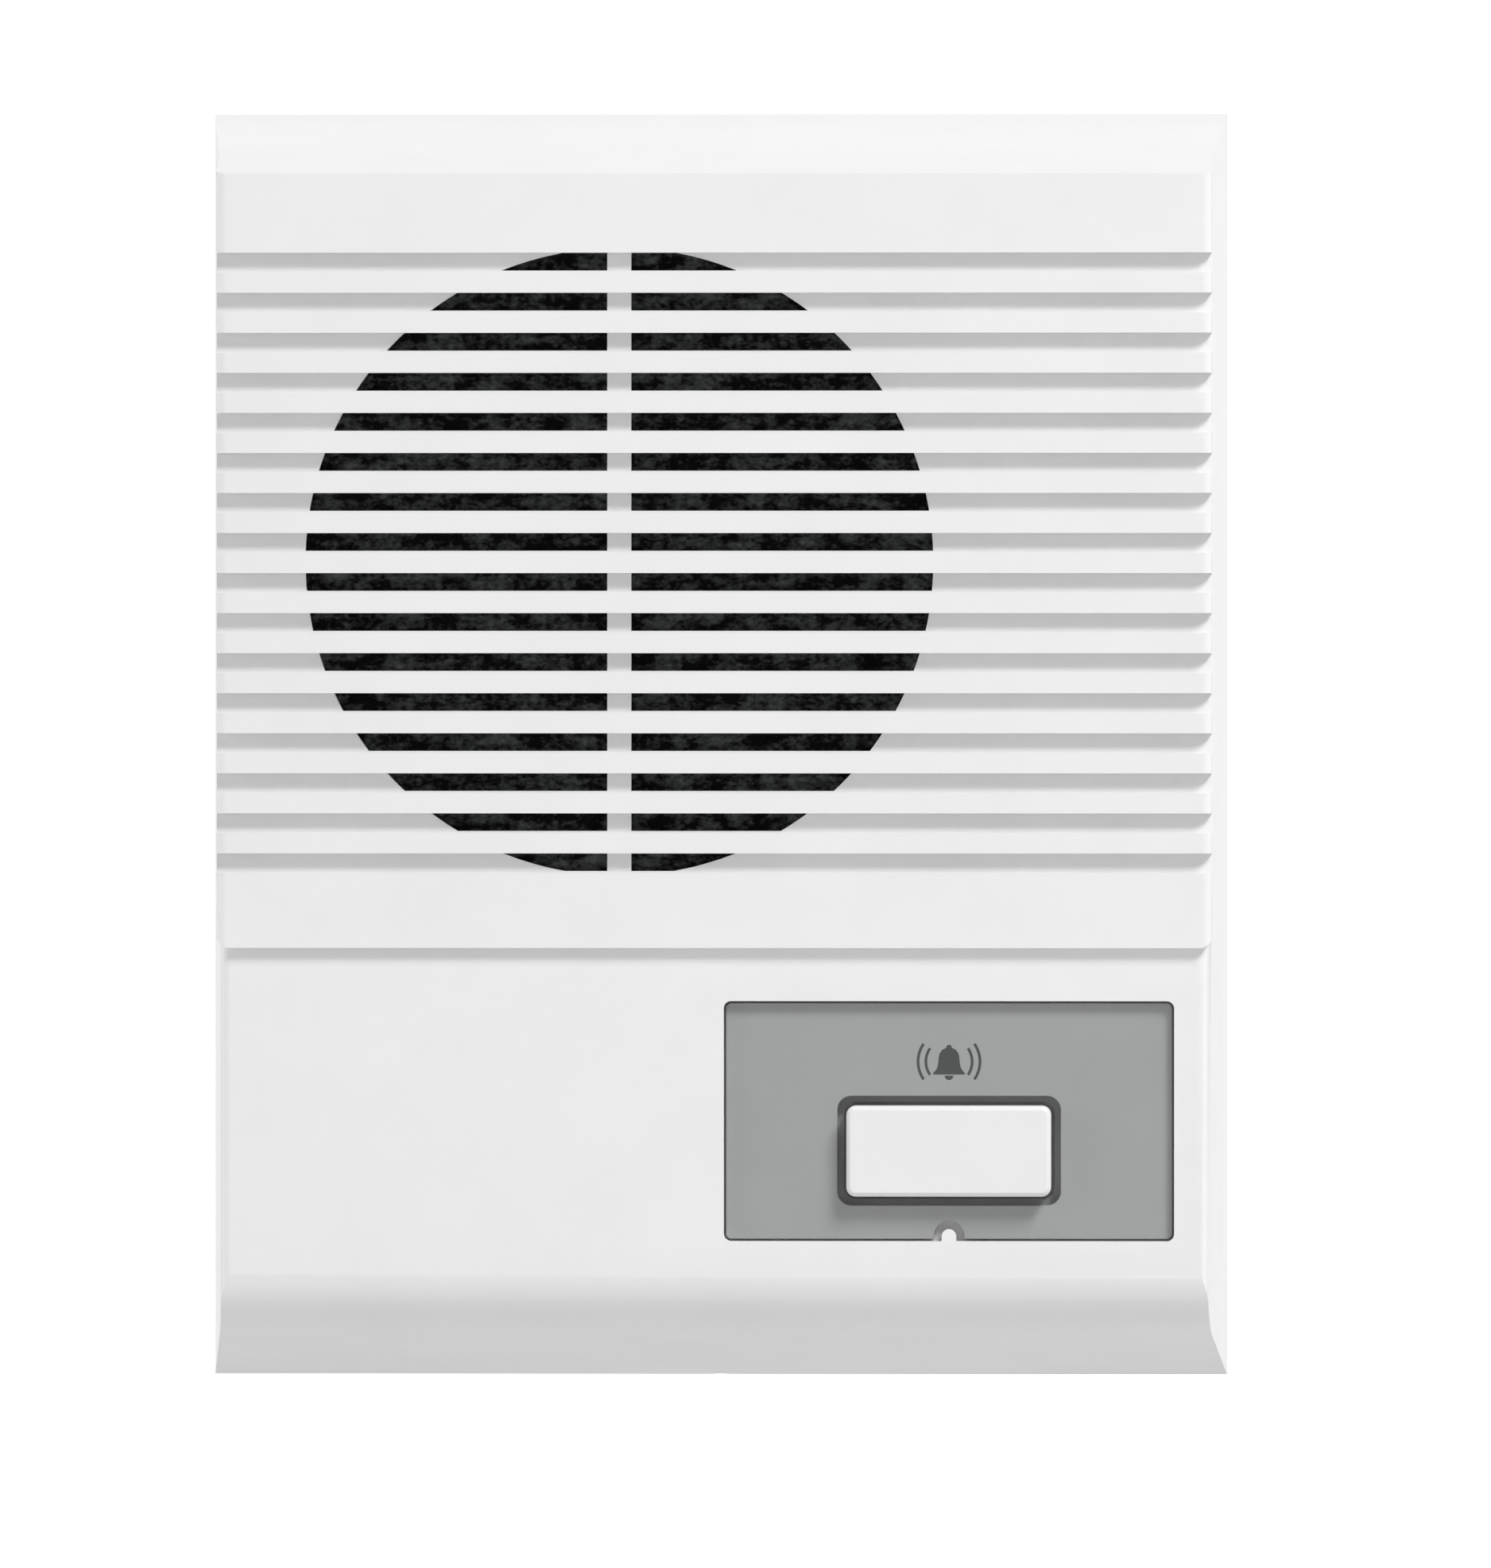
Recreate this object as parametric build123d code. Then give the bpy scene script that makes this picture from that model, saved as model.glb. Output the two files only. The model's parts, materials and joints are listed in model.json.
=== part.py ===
from build123d import *
import math
import os

# An indoor intercom substation that hangs on a wall bracket: a louvred moulded cover over a
# speaker, with a call button in a grey plate low on the right.
# It is drawn lying on its back: X to the right, Y up the wall, Z out of the wall, with the
# origin on the wall plane midway between the bracket's two screw slots. It is stood up as
# the pieces are written, so that the front faces -Y and Z runs up the wall.
# All sizes are in millimetres and degrees.

# Housing
HOUSING_WIDTH = 98.0
HOUSING_HEIGHT = 122.0
HOUSING_DEPTH = 32.0          # wall to the face of the raised panel
RIM_DEPTH = 8.0               # straight rim at the wall, before the sides lean in
WALL = 2.2
SIDE_LEAN = 4.3               # how far the sides lean in from square
TOP_LEAN = 14.5
BOTTOM_LEAN = 14.0
BOTTOM_BEND = 7.0             # roll from the lower face into the bottom
FACE_TRIM = 0.05              # the bend runs this far past the face that trims it
PANEL_STEP = 1.0              # raised panel above the lower face
PANEL_BOTTOM = -19.4
PANEL_WIDTH = 95.4            # a little wider than the lower face
PANEL_CORNER = 1.2            # lower corners, seen from the front
PANEL_SIDE_ROUND = 1.0        # its left and right edges, seen from below
LOWER_SIDE_ROUND = 1.0
FRONT_WALL = 3.0              # raised panel to the flat inside

# Louvres and the round grille that opens through them
GROOVE_COUNT = 16
GROOVE_PITCH = 3.836
FIRST_GROOVE_TOP = 47.2
GROOVE_HEIGHT = 1.9
GROOVE_DEPTH = 1.6
GROOVE_FOOT = 1.3             # depth at the lower edge
SLOT_HEIGHT = 1.7
GRILLE_RADIUS = 30.1
GRILLE_WALL = 2.4
WEB_WIDTH = 2.3

# Speaker, from the cloth behind the grille back to the yoke
SPEAKER_X = -9.1
SPEAKER_Y = 17.6
SPEAKER_RADIUS = 33.0
SPEAKER_PLAY = 0.3            # speaker to the locating ring round it
LOCATING_RING = 1.2
CLOTH_THICK = 0.3
GASKET_THICK = 1.5
GASKET_INSET = 0.4
SURROUND_THICK = 0.3
FRAME_SHEET = 0.8
SEAT_WIDTH = 4.1              # width of the flat flange that everything is glued to
BASKET_DEPTH = 9.4            # flange to the seat of the top plate
BACK_RING_INNER = 11.5
BACK_RING_OUTER = 16.4
SPIDER_LEDGE = 2.4            # ledge for the spider in front of the back ring
SPIDER_RADIUS = 19.0
SPIDER_THICK = 0.25
SPIDER_WAVES = 2
SPIDER_SWING = 0.45
SPIDER_CLEAR = 0.2            # folds stop this far inside the ledge
WINDOW_COUNT = 6
WINDOW_WIDTH = 14.2
WINDOW_RIM = 0.9              # sheet left above and below a window
MAGNET_RADIUS = 20.0
MAGNET_BORE = 10.5
MAGNET_THICK = 6.0
PLATE_THICK = 2.0
PLATE_RADIUS = 19.5
YOKE_EDGE = 1.0
GAP_RADIUS = 8.9              # bore of the top plate
POLE_RADIUS = 7.6
FORMER_RADIUS = 8.0
FORMER_WALL = 0.2
WINDING_WALL = 0.35
WINDING_LENGTH = 4.0
FORMER_LAP = 0.5              # former behind its winding
FORMER_PROUD = 1.0            # former past the neck of the cone
CONE_PAPER = 0.4
CONE_RISE = 5.2               # neck of the cone to its edge
CONE_TURN_RADIUS = 14.0       # where the cone flattens
CONE_TURN_RISE = 2.2
SURROUND_WIDTH = 2.5          # cone's edge out to the flange
SURROUND_LAP = 1.2            # surround in over the cone
ROLL_HEIGHT = 0.6
DUST_CAP_RADIUS = 10.5
DUST_CAP_RISE = 2.4
GLUE = 0.02

# Clamps that hold the speaker in the cover
CLAMP_OUT = 4.5               # speaker's edge out to the clamp screws
CLAMP_LAP = 2.3               # clamp in over the flange
CLAMP_CORNER = 1.6
CLAMP_ANGLES = (45, 135, 225, 315)
CLAMP_THICK = 1.0
CLAMP_WIDTH = 8.0
CLAMP_BOSS_RADIUS = 3.2
CLAMP_SCREW_RADIUS = 1.15
CLAMP_SCREW_GRIP = 3.2

# Terminal strip on the speaker
STRIP_WIDTH = 14.0
STRIP_THICK = 1.0
STRIP_LAP = 2.7               # strip in over the flange
STRIP_OUT = 4.0               # and out past the speaker's edge
STRIP_CORNER = 1.2
LUG_SPACING = 6.0
LUG_WIDTH = 2.6
LUG_THICK = 0.4
LUG_OUT = 7.0                 # lug out past the speaker's edge
LUG_CORNER = 1.0

# Face plate and call button
PLATE_X = 22.5
PLATE_Y = -36.0
FACE_PLATE_WIDTH = 42.75
FACE_PLATE_HEIGHT = 22.6
FACE_PLATE_THICK = 1.2
FACE_PLATE_SUNK = 1.0
FACE_PLATE_CORNER = 0.5
FACE_PLATE_GAP = 0.2
RECESS_FLOOR = 2.2
NOTCH_WIDTH = 2.9
NOTCH_HEIGHT = 1.7
KEY_GAP = 0.75                # notch to the key of the cover that stands in it
KEY_SUNK = 0.1                # key below the lower face
PEG_RADIUS = 1.1
PEG_LENGTH = 2.6
PEG_GAP = 0.08
PEG_PLACES = ((-18.0, 0.0), (18.0, 0.0))
BUTTON_Y = -38.85
BUTTON_WIDTH = 19.6
BUTTON_HEIGHT = 8.7
BUTTON_CORNER = 0.9
BUTTON_GAP = 0.9              # shadow gap round the cap
BUTTON_PROUD = 2.4
LIP_DEPTH = 1.8               # plate's face down to the lip that guides the cap
LIP_THICK = 1.0
LIP_GAP = 0.25
BUTTON_TRAVEL = 1.5
BUTTON_EDGE = 0.35
BUTTON_WALL = 1.3
FLANGE_RIM = 1.8
FLANGE_THICK = 1.2
FLANGE_GAP = 0.3
STOP_GAP = 0.05
STEM_RADIUS = 2.6

# Switch under the button
SWITCH_WIDTH = 12.0
SWITCH_HEIGHT = 8.0
SWITCH_WALL = 1.0
SWITCH_CORNER = 0.8
SWITCH_EDGE = 0.4
PLUNGER_RADIUS = 1.9
PLUNGER_RISE = 3.4            # plunger above the switch
PLUNGER_BORE_GAP = 0.08
PLUNGER_FLANGE_RADIUS = 3.6
PLUNGER_FLANGE_THICK = 1.1
SPIGOT_RADIUS = 0.9
SPIGOT_LENGTH = 2.3
BRIDGE_LENGTH = 7.4
BRIDGE_WIDTH = 2.0
BRIDGE_THICK = 0.3
CONTACT_X = 3.0
CONTACT_WIDTH = 1.2
CONTACT_GAP = 0.1
PIN_WIDTH = 0.8
PIN_STICK_OUT = 1.2
PIN_GAP = 0.02
SPRING_RADIUS = 1.5
SPRING_WIRE = 0.2
SPRING_TURNS = 4

# Circuit board
BOARD_LEFT = -22.0
BOARD_RIGHT = 40.0
BOARD_BOTTOM = -49.0
BOARD_TOP = -21.0
BOARD_BACK = 12.0
BOARD_THICK = 1.6
BOARD_HOLE_INSET = 3.0
BOARD_CORNER = 1.0
POST_RADIUS = 2.8
BOARD_SCREW_RADIUS = 1.15
BOARD_SCREW_GRIP = 6.0
CAPACITOR_RADIUS = 4.0
CAPACITOR_LENGTH = 9.0
CAPACITOR_EDGE = 0.5
CAPACITOR_PLACE = (-13.0, -42.0)
RESISTOR_COUNT = 3
RESISTOR_RADIUS = 1.15
RESISTOR_LENGTH = 6.3
RESISTOR_SPAN = 10.2
RESISTOR_SPACING = 4.0
RESISTOR_PLACE = (0.0, -44.5)
RESISTOR_LEAD = 0.6
RESISTOR_LIFT = 0.1

# Wiring terminals on the back of the board
TERMINAL_X = 0.0
TERMINAL_Y = -27.5
TERMINAL_COUNT = 3
TERMINAL_PITCH = 9.0
TERMINAL_HEIGHT = 11.0
TERMINAL_DEPTH = 9.0
TERMINAL_CORNER = 0.6
WELL_WIDTH = 7.0
WELL_HEIGHT = 9.6
WELL_DEPTH = 5.0
CONTACT_PLATE_THICK = 0.8
CONTACT_PLATE_GAP = 0.2
WASHER_SIZE = 5.6
WASHER_THICK = 1.0
TERMINAL_SCREW_RADIUS = 1.4
TERMINAL_HEAD_RADIUS = 2.6
TERMINAL_HEAD_THICK = 1.5
TERMINAL_SCREW_REACH = 2.8
TERMINAL_PIN_OFFSET = 3.2     # pin above the screw

# Inner back cover
CHASSIS_BACK = 4.0
CHASSIS_THICK = 2.2
CHASSIS_GAP = 0.3
CHASSIS_CORNER = 2.5
CHASSIS_BOSS_INSET_X = 5.5
CHASSIS_BOSS_INSET_Y = 7.5
CHASSIS_BOSS_RADIUS = 3.2
CHASSIS_SCREW_RADIUS = 1.3
CHASSIS_SCREW_GRIP = 9.0
TERMINAL_WINDOW_GAP = 0.4
STANDOFF_X = 28.5
STANDOFF_WIDTH = 1.6
STANDOFF_LENGTH = 70.0
CUTOUT_CORNER = 0.5

# Wall bracket
BRACKET_WIDTH = 64.0
BRACKET_HEIGHT = 104.0
BRACKET_SHEET = 1.2
BRACKET_CORNER = 3.0
CABLE_OPENING_WIDTH = 40.0
CABLE_OPENING_HEIGHT = 66.0
WALL_SLOT_SPACING = 83.5
WALL_SLOT_RADIUS = 2.2
WALL_SLOT_LENGTH = 8.0
HOOK_X = 22.0
HOOK_WIDTH = 8.0
HOOK_ROOT = 46.0
HOOK_REACH = 3.0              # hook lip up over the inner back cover
HOOK_CLEARANCE = 0.6
HOOK_SLOT_GAP = 0.8
HOOK_SLOT_RIM = 0.2           # slot above the hook's root
HOOK_BEND = 1.0
HOOK_RELIEF = 0.3
HOOK_SLOT_DROP = 3.0          # room under the hook for lifting the unit off
TAB_FACE = -50.0
TAB_WIDTH = 10.0
TAB_HEIGHT = 8.0
TAB_BORE = 1.75
TAB_CORNER = 1.5
LOCK_Z = 5.0
LOCK_SCREW_RADIUS = 1.65
LOCK_SCREW_GAP = 0.2
LOCK_BLOCK_WIDTH = 12.0
LOCK_BLOCK_GAP = 0.3
LOCK_HEAD_RADIUS = 2.75
LOCK_HEAD_THICK = 2.2
LOCK_HEAD_SUNK = 0.6
LOCK_SINK_GAP = 0.4
LOCK_REACH = 4.0
LOCK_BLOCK_RIM = 1.0          # block round the sunk head
LOCK_NOTCH_GAP = 0.8
LOCK_TIP_GAP = 0.6

# Screw heads and speaker leads
HEAD_OVER_SHANK = 1.9         # head radius over shank radius
HEAD_THICK = 1.4
PILOT_GAP = 0.05
HOLE_GAP = 0.25
PILOT_SPARE = 0.1             # pilot hole past the screw's tip
LEAD_RADIUS = 0.6
LEAD_BEND = 1.6
LEAD_GAP = 0.05
LEAD_STUB = 3.0               # straight run out of the lug, and down onto the board
LEAD_FALL = 5.5               # lug down to the turn across to the board
LEAD_SPREAD = 1.5             # each lead moves out by this much
LEAD_LANDING = 5.4            # board's top edge down to the joint

# Cuts and joins
OVERRUN = 1.0                 # a cut runs this far past what it cuts
ROOTED = 0.5                  # a boss starts this far inside the wall that carries it

# Depths worked out from the above
LOWER_FACE = HOUSING_DEPTH - PANEL_STEP
INNER_FACE = HOUSING_DEPTH - FRONT_WALL
GRILLE_BACK = HOUSING_DEPTH - GRILLE_WALL
CLOTH_BACK = GRILLE_BACK - CLOTH_THICK
GASKET_BACK = CLOTH_BACK - GASKET_THICK
FRAME_FRONT = GASKET_BACK - SURROUND_THICK
FRAME_BACK = FRAME_FRONT - FRAME_SHEET
TOP_PLATE_FRONT = FRAME_BACK - BASKET_DEPTH
MAGNET_FRONT = TOP_PLATE_FRONT - PLATE_THICK
MAGNET_BACK = MAGNET_FRONT - MAGNET_THICK
YOKE_BACK = MAGNET_BACK - PLATE_THICK
SEAT_INNER = SPEAKER_RADIUS - SEAT_WIDTH
CONE_EDGE_RADIUS = SEAT_INNER - SURROUND_WIDTH
CLAMP_RING = SPEAKER_RADIUS + CLAMP_OUT
STRIP_INNER = SPEAKER_RADIUS - STRIP_LAP
STRIP_OUTER = SPEAKER_RADIUS + STRIP_OUT
LUG_OUTER = SPEAKER_RADIUS + LUG_OUT
LEDGE_FRONT = TOP_PLATE_FRONT + SPIDER_LEDGE + FRAME_SHEET
CONE_EDGE = FRAME_FRONT
CONE_NECK = CONE_EDGE - CONE_RISE
COIL_OUTER = FORMER_RADIUS + FORMER_WALL
COIL_MIDDLE = TOP_PLATE_FRONT - PLATE_THICK / 2
PLATE_FRONT = LOWER_FACE - FACE_PLATE_SUNK
PLATE_BACK = PLATE_FRONT - FACE_PLATE_THICK
RECESS_BACK = PLATE_BACK - RECESS_FLOOR
BUTTON_FRONT = PLATE_FRONT + BUTTON_PROUD
LIP_BACK = PLATE_FRONT - LIP_DEPTH - LIP_THICK
FLANGE_FRONT = LIP_BACK - STOP_GAP
FLANGE_BACK = FLANGE_FRONT - FLANGE_THICK
FLANGE_WIDTH = BUTTON_WIDTH + 2 * FLANGE_RIM
FLANGE_HEIGHT = BUTTON_HEIGHT + 2 * FLANGE_RIM
BOARD_FRONT = BOARD_BACK + BOARD_THICK
SWITCH_FRONT = BOARD_FRONT + SWITCH_HEIGHT
SWITCH_CEILING = SWITCH_FRONT - SWITCH_WALL
BASE_FRONT = BOARD_FRONT + SWITCH_WALL
PLUNGER_FRONT = SWITCH_FRONT + PLUNGER_RISE
PLUNGER_FLANGE_FRONT = SWITCH_CEILING - STOP_GAP
PLUNGER_FLANGE_BACK = PLUNGER_FLANGE_FRONT - PLUNGER_FLANGE_THICK
BRIDGE_BACK = PLUNGER_FLANGE_BACK - BRIDGE_THICK
CHASSIS_FRONT = CHASSIS_BACK + CHASSIS_THICK
TERMINAL_BACK = BOARD_BACK - TERMINAL_DEPTH
WELL_FLOOR = TERMINAL_BACK + WELL_DEPTH
INNER_HALF_WIDTH = HOUSING_WIDTH / 2 - WALL
INNER_HALF_HEIGHT = HOUSING_HEIGHT / 2 - WALL
CHASSIS_BOSSES = [
    (side * (HOUSING_WIDTH / 2 - CHASSIS_BOSS_INSET_X), end * (HOUSING_HEIGHT / 2 - CHASSIS_BOSS_INSET_Y))
    for side in (-1, 1)
    for end in (-1, 1)
]
BOARD_HOLES = [
    (x, y)
    for x in (BOARD_LEFT + BOARD_HOLE_INSET, BOARD_RIGHT - BOARD_HOLE_INSET)
    for y in (BOARD_BOTTOM + BOARD_HOLE_INSET, BOARD_TOP - BOARD_HOLE_INSET)
]
CLAMP_PLACES = [
    (
        SPEAKER_X + CLAMP_RING * math.cos(math.radians(angle)),
        SPEAKER_Y + CLAMP_RING * math.sin(math.radians(angle)),
        angle,
    )
    for angle in CLAMP_ANGLES
]
TERMINAL_PLACES = [
    (TERMINAL_X + (place - (TERMINAL_COUNT - 1) / 2) * TERMINAL_PITCH, TERMINAL_Y)
    for place in range(TERMINAL_COUNT)
]
LUG_PLACES = [SPEAKER_X - LUG_SPACING / 2, SPEAKER_X + LUG_SPACING / 2]


def block(x0, x1, y0, y1, z0, z1):
    """A square-edged piece between two places on each axis."""
    return Pos((x0 + x1) / 2, (y0 + y1) / 2, (z0 + z1) / 2) * Box(x1 - x0, y1 - y0, z1 - z0)


def peg(x, y, radius, z0, z1):
    """A round piece that points out of the wall."""
    return Pos(x, y, (z0 + z1) / 2) * Cylinder(radius, z1 - z0)


def pin(x, y, width, z0, z1):
    """A square pin, or the hole for one."""
    return Pos(x, y, (z0 + z1) / 2) * Box(width, width, z1 - z0)


def tablet(x, y, width, height, corner, z0, z1):
    """A plate with rounded corners, flat to the wall."""
    outline = Pos(x, y, z0) * RectangleRounded(width, height, corner)
    return extrude(outline, amount=z1 - z0)


def turned(points):
    """A ring or dish turned about the speaker's axis from (radius, depth) points."""
    outline = make_face(Polyline(*points, close=True))
    return Pos(SPEAKER_X, SPEAKER_Y) * revolve(Plane.XZ * outline, Axis.Z)


def screw(x, y, radius, under_head, tip):
    """A pan-head screw that is driven towards the front, from under its head to its tip."""
    head = peg(x, y, radius * HEAD_OVER_SHANK, under_head - HEAD_THICK, under_head)
    return head + peg(x, y, radius, under_head, tip)


def pilot(x, y, radius, mouth, grip):
    """The hole in a boss that a screw cuts its thread in."""
    return peg(x, y, radius + PILOT_GAP, mouth - OVERRUN, mouth + grip + PILOT_SPARE)


def lean(angle, height):
    """How far a leaning wall has come in at a height above the wall plane."""
    return (height - RIM_DEPTH) * math.tan(math.radians(angle))


def side_form(margin, face, bottom_bend, back):
    """What the side view gives: the sloping top, the face and the rolled bottom."""
    high = HOUSING_HEIGHT / 2 - margin
    over = face + FACE_TRIM
    side_view = make_face(
        Polyline(
            (-high, back),
            (-high, RIM_DEPTH),
            (-high + lean(BOTTOM_LEAN, over), over),
            (high - lean(TOP_LEAN, over), over),
            (high, RIM_DEPTH),
            (high, back),
            close=True,
        )
    )
    front_corners = side_view.vertices().group_by(Axis.Y)[-1].sort_by(Axis.X)
    side_view = fillet(front_corners[0], bottom_bend)
    return extrude(Plane.YZ.offset(-HOUSING_WIDTH) * side_view, amount=2 * HOUSING_WIDTH)


def housing_form(margin, face, bottom_bend, back):
    """The housing's form, drawn in by a margin, cut flat at a face and open at the back."""
    wide = HOUSING_WIDTH / 2 - margin
    end_view = make_face(
        Polyline(
            (-wide, back),
            (-wide, RIM_DEPTH),
            (-wide + lean(SIDE_LEAN, face), face),
            (wide - lean(SIDE_LEAN, face), face),
            (wide, RIM_DEPTH),
            (wide, back),
            close=True,
        )
    )
    end_view = fillet(end_view.vertices().group_by(Axis.Y)[-1], LOWER_SIDE_ROUND)
    end_form = extrude(Plane.XZ.offset(-HOUSING_HEIGHT) * end_view, amount=2 * HOUSING_HEIGHT)
    return side_form(margin, face, bottom_bend, back) & end_form


def raised_panel():
    """The louvred panel: it stands proud of the face and the sides, and runs out over the top."""
    top = HOUSING_HEIGHT / 2 + PANEL_CORNER
    middle = (top + PANEL_BOTTOM) / 2
    panel = tablet(0, middle, PANEL_WIDTH, top - PANEL_BOTTOM, PANEL_CORNER, RIM_DEPTH, HOUSING_DEPTH)
    end_view = Plane.XZ * RectangleRounded(PANEL_WIDTH, 2 * HOUSING_DEPTH, PANEL_SIDE_ROUND)
    rounded = extrude(end_view, amount=HOUSING_HEIGHT, both=True)
    return panel & rounded & side_form(0, HOUSING_DEPTH, BOTTOM_BEND, 0)


def groove(top):
    """One louvre groove: deep under the ledge of the slat above, shallower at the slat below."""
    above = HOUSING_DEPTH + OVERRUN
    foot = top - GROOVE_HEIGHT
    outline = make_face(
        Polyline(
            (top, above),
            (top, HOUSING_DEPTH - GROOVE_DEPTH),
            (foot, HOUSING_DEPTH - GROOVE_FOOT),
            (foot, above),
            close=True,
        )
    )
    return extrude(Plane.YZ * outline, amount=HOUSING_WIDTH / 2, both=True)


def foot_tab(inset, drop, z0, z1):
    """The round-ended notch in the plate's foot, or the key that stands inside it."""
    foot = PLATE_Y - FACE_PLATE_HEIGHT / 2 - drop
    height = NOTCH_HEIGHT + drop - inset
    outline = SlotOverall(2 * height, NOTCH_WIDTH - 2 * inset, rotation=90)
    return extrude(Pos(PLATE_X, foot, z0) * outline, amount=z1 - z0)


def grille_slots(tops):
    """The slots through the louvres, inside a circle and clear of the upright web."""
    half = WEB_WIDTH / 2
    far = GRILLE_RADIUS + OVERRUN
    low = GRILLE_BACK - OVERRUN
    high = HOUSING_DEPTH + OVERRUN
    circle = peg(SPEAKER_X, SPEAKER_Y, GRILLE_RADIUS, low, high)
    slots = Part()
    for top in tops:
        for start, end in ((-far, -half), (half, far)):
            slots += block(SPEAKER_X + start, SPEAKER_X + end, top - SLOT_HEIGHT, top, low, high)
    return slots & circle


def make_front_cover():
    """The moulded cover with its louvres, recess, rings, bosses and posts."""
    outer = housing_form(0, LOWER_FACE, BOTTOM_BEND, 0) + raised_panel()
    cavity = housing_form(WALL, INNER_FACE, BOTTOM_BEND - WALL, -OVERRUN)
    cover = outer - cavity

    ring_outer = SPEAKER_RADIUS + SPEAKER_PLAY + LOCATING_RING
    inside = peg(SPEAKER_X, SPEAKER_Y, ring_outer, FRAME_BACK, INNER_FACE + ROOTED)
    for x, y, angle in CLAMP_PLACES:
        inside += peg(x, y, CLAMP_BOSS_RADIUS, FRAME_BACK, INNER_FACE + ROOTED)
    for x, y in CHASSIS_BOSSES:
        inside += peg(x, y, CHASSIS_BOSS_RADIUS, CHASSIS_FRONT, INNER_FACE + ROOTED)
    for x, y in BOARD_HOLES:
        inside += peg(x, y, POST_RADIUS, BOARD_FRONT, INNER_FACE + ROOTED)
    inside += tablet(
        PLATE_X,
        PLATE_Y,
        FACE_PLATE_WIDTH + 2 * RECESS_FLOOR,
        FACE_PLATE_HEIGHT + 2 * RECESS_FLOOR,
        RECESS_FLOOR,
        RECESS_BACK,
        INNER_FACE + ROOTED,
    )
    lock_block_top = TAB_FACE - BRACKET_SHEET - LOCK_BLOCK_GAP
    lock_block_half = LOCK_HEAD_RADIUS + LOCK_BLOCK_RIM
    inside += block(
        -LOCK_BLOCK_WIDTH / 2,
        LOCK_BLOCK_WIDTH / 2,
        -INNER_HALF_HEIGHT - WALL / 2,
        lock_block_top,
        LOCK_Z - lock_block_half,
        LOCK_Z + lock_block_half,
    )
    cover += inside & outer

    cuts = peg(SPEAKER_X, SPEAKER_Y, SPEAKER_RADIUS + SPEAKER_PLAY, FRAME_BACK - OVERRUN, GRILLE_BACK)
    for x, y, angle in CLAMP_PLACES:
        cuts += pilot(x, y, CLAMP_SCREW_RADIUS, FRAME_BACK, CLAMP_SCREW_GRIP)
    for x, y in CHASSIS_BOSSES:
        cuts += pilot(x, y, CHASSIS_SCREW_RADIUS, CHASSIS_FRONT, CHASSIS_SCREW_GRIP)
    for x, y in BOARD_HOLES:
        cuts += pilot(x, y, BOARD_SCREW_RADIUS, BOARD_FRONT, BOARD_SCREW_GRIP)
    cuts += tablet(
        PLATE_X,
        PLATE_Y,
        FACE_PLATE_WIDTH + 2 * FACE_PLATE_GAP,
        FACE_PLATE_HEIGHT + 2 * FACE_PLATE_GAP,
        FACE_PLATE_CORNER + FACE_PLATE_GAP,
        PLATE_BACK,
        HOUSING_DEPTH + OVERRUN,
    )
    cuts += tablet(
        PLATE_X,
        BUTTON_Y,
        FLANGE_WIDTH + 2 * FLANGE_GAP,
        FLANGE_HEIGHT + 2 * FLANGE_GAP,
        BUTTON_CORNER,
        RECESS_BACK - OVERRUN,
        HOUSING_DEPTH + OVERRUN,
    )
    cuts -= foot_tab(KEY_GAP, FACE_PLATE_GAP, PLATE_BACK, LOWER_FACE - KEY_SUNK)
    for x, y in PEG_PLACES:
        cuts += peg(
            PLATE_X + x, PLATE_Y + y, PEG_RADIUS + PEG_GAP, RECESS_BACK - OVERRUN, PLATE_BACK + OVERRUN
        )
    lock_axis = Location((0, -HOUSING_HEIGHT / 2, LOCK_Z), (-90, 0, 0))
    lock_depth = HOUSING_HEIGHT / 2 + lock_block_top + OVERRUN
    lock_hole = Cylinder(LOCK_SCREW_RADIUS + LOCK_SCREW_GAP, 2 * lock_depth)
    cuts += lock_axis * lock_hole
    sink_depth = LOCK_HEAD_SUNK + LOCK_HEAD_THICK
    cuts += lock_axis * Cylinder(LOCK_HEAD_RADIUS + LOCK_SINK_GAP, 2 * sink_depth)
    cover -= cuts

    tops = [FIRST_GROOVE_TOP - place * GROOVE_PITCH for place in range(GROOVE_COUNT)]
    grooves = Part() + [groove(top) for top in tops]
    cover -= grooves
    cover -= grille_slots(tops)
    return cover


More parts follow.
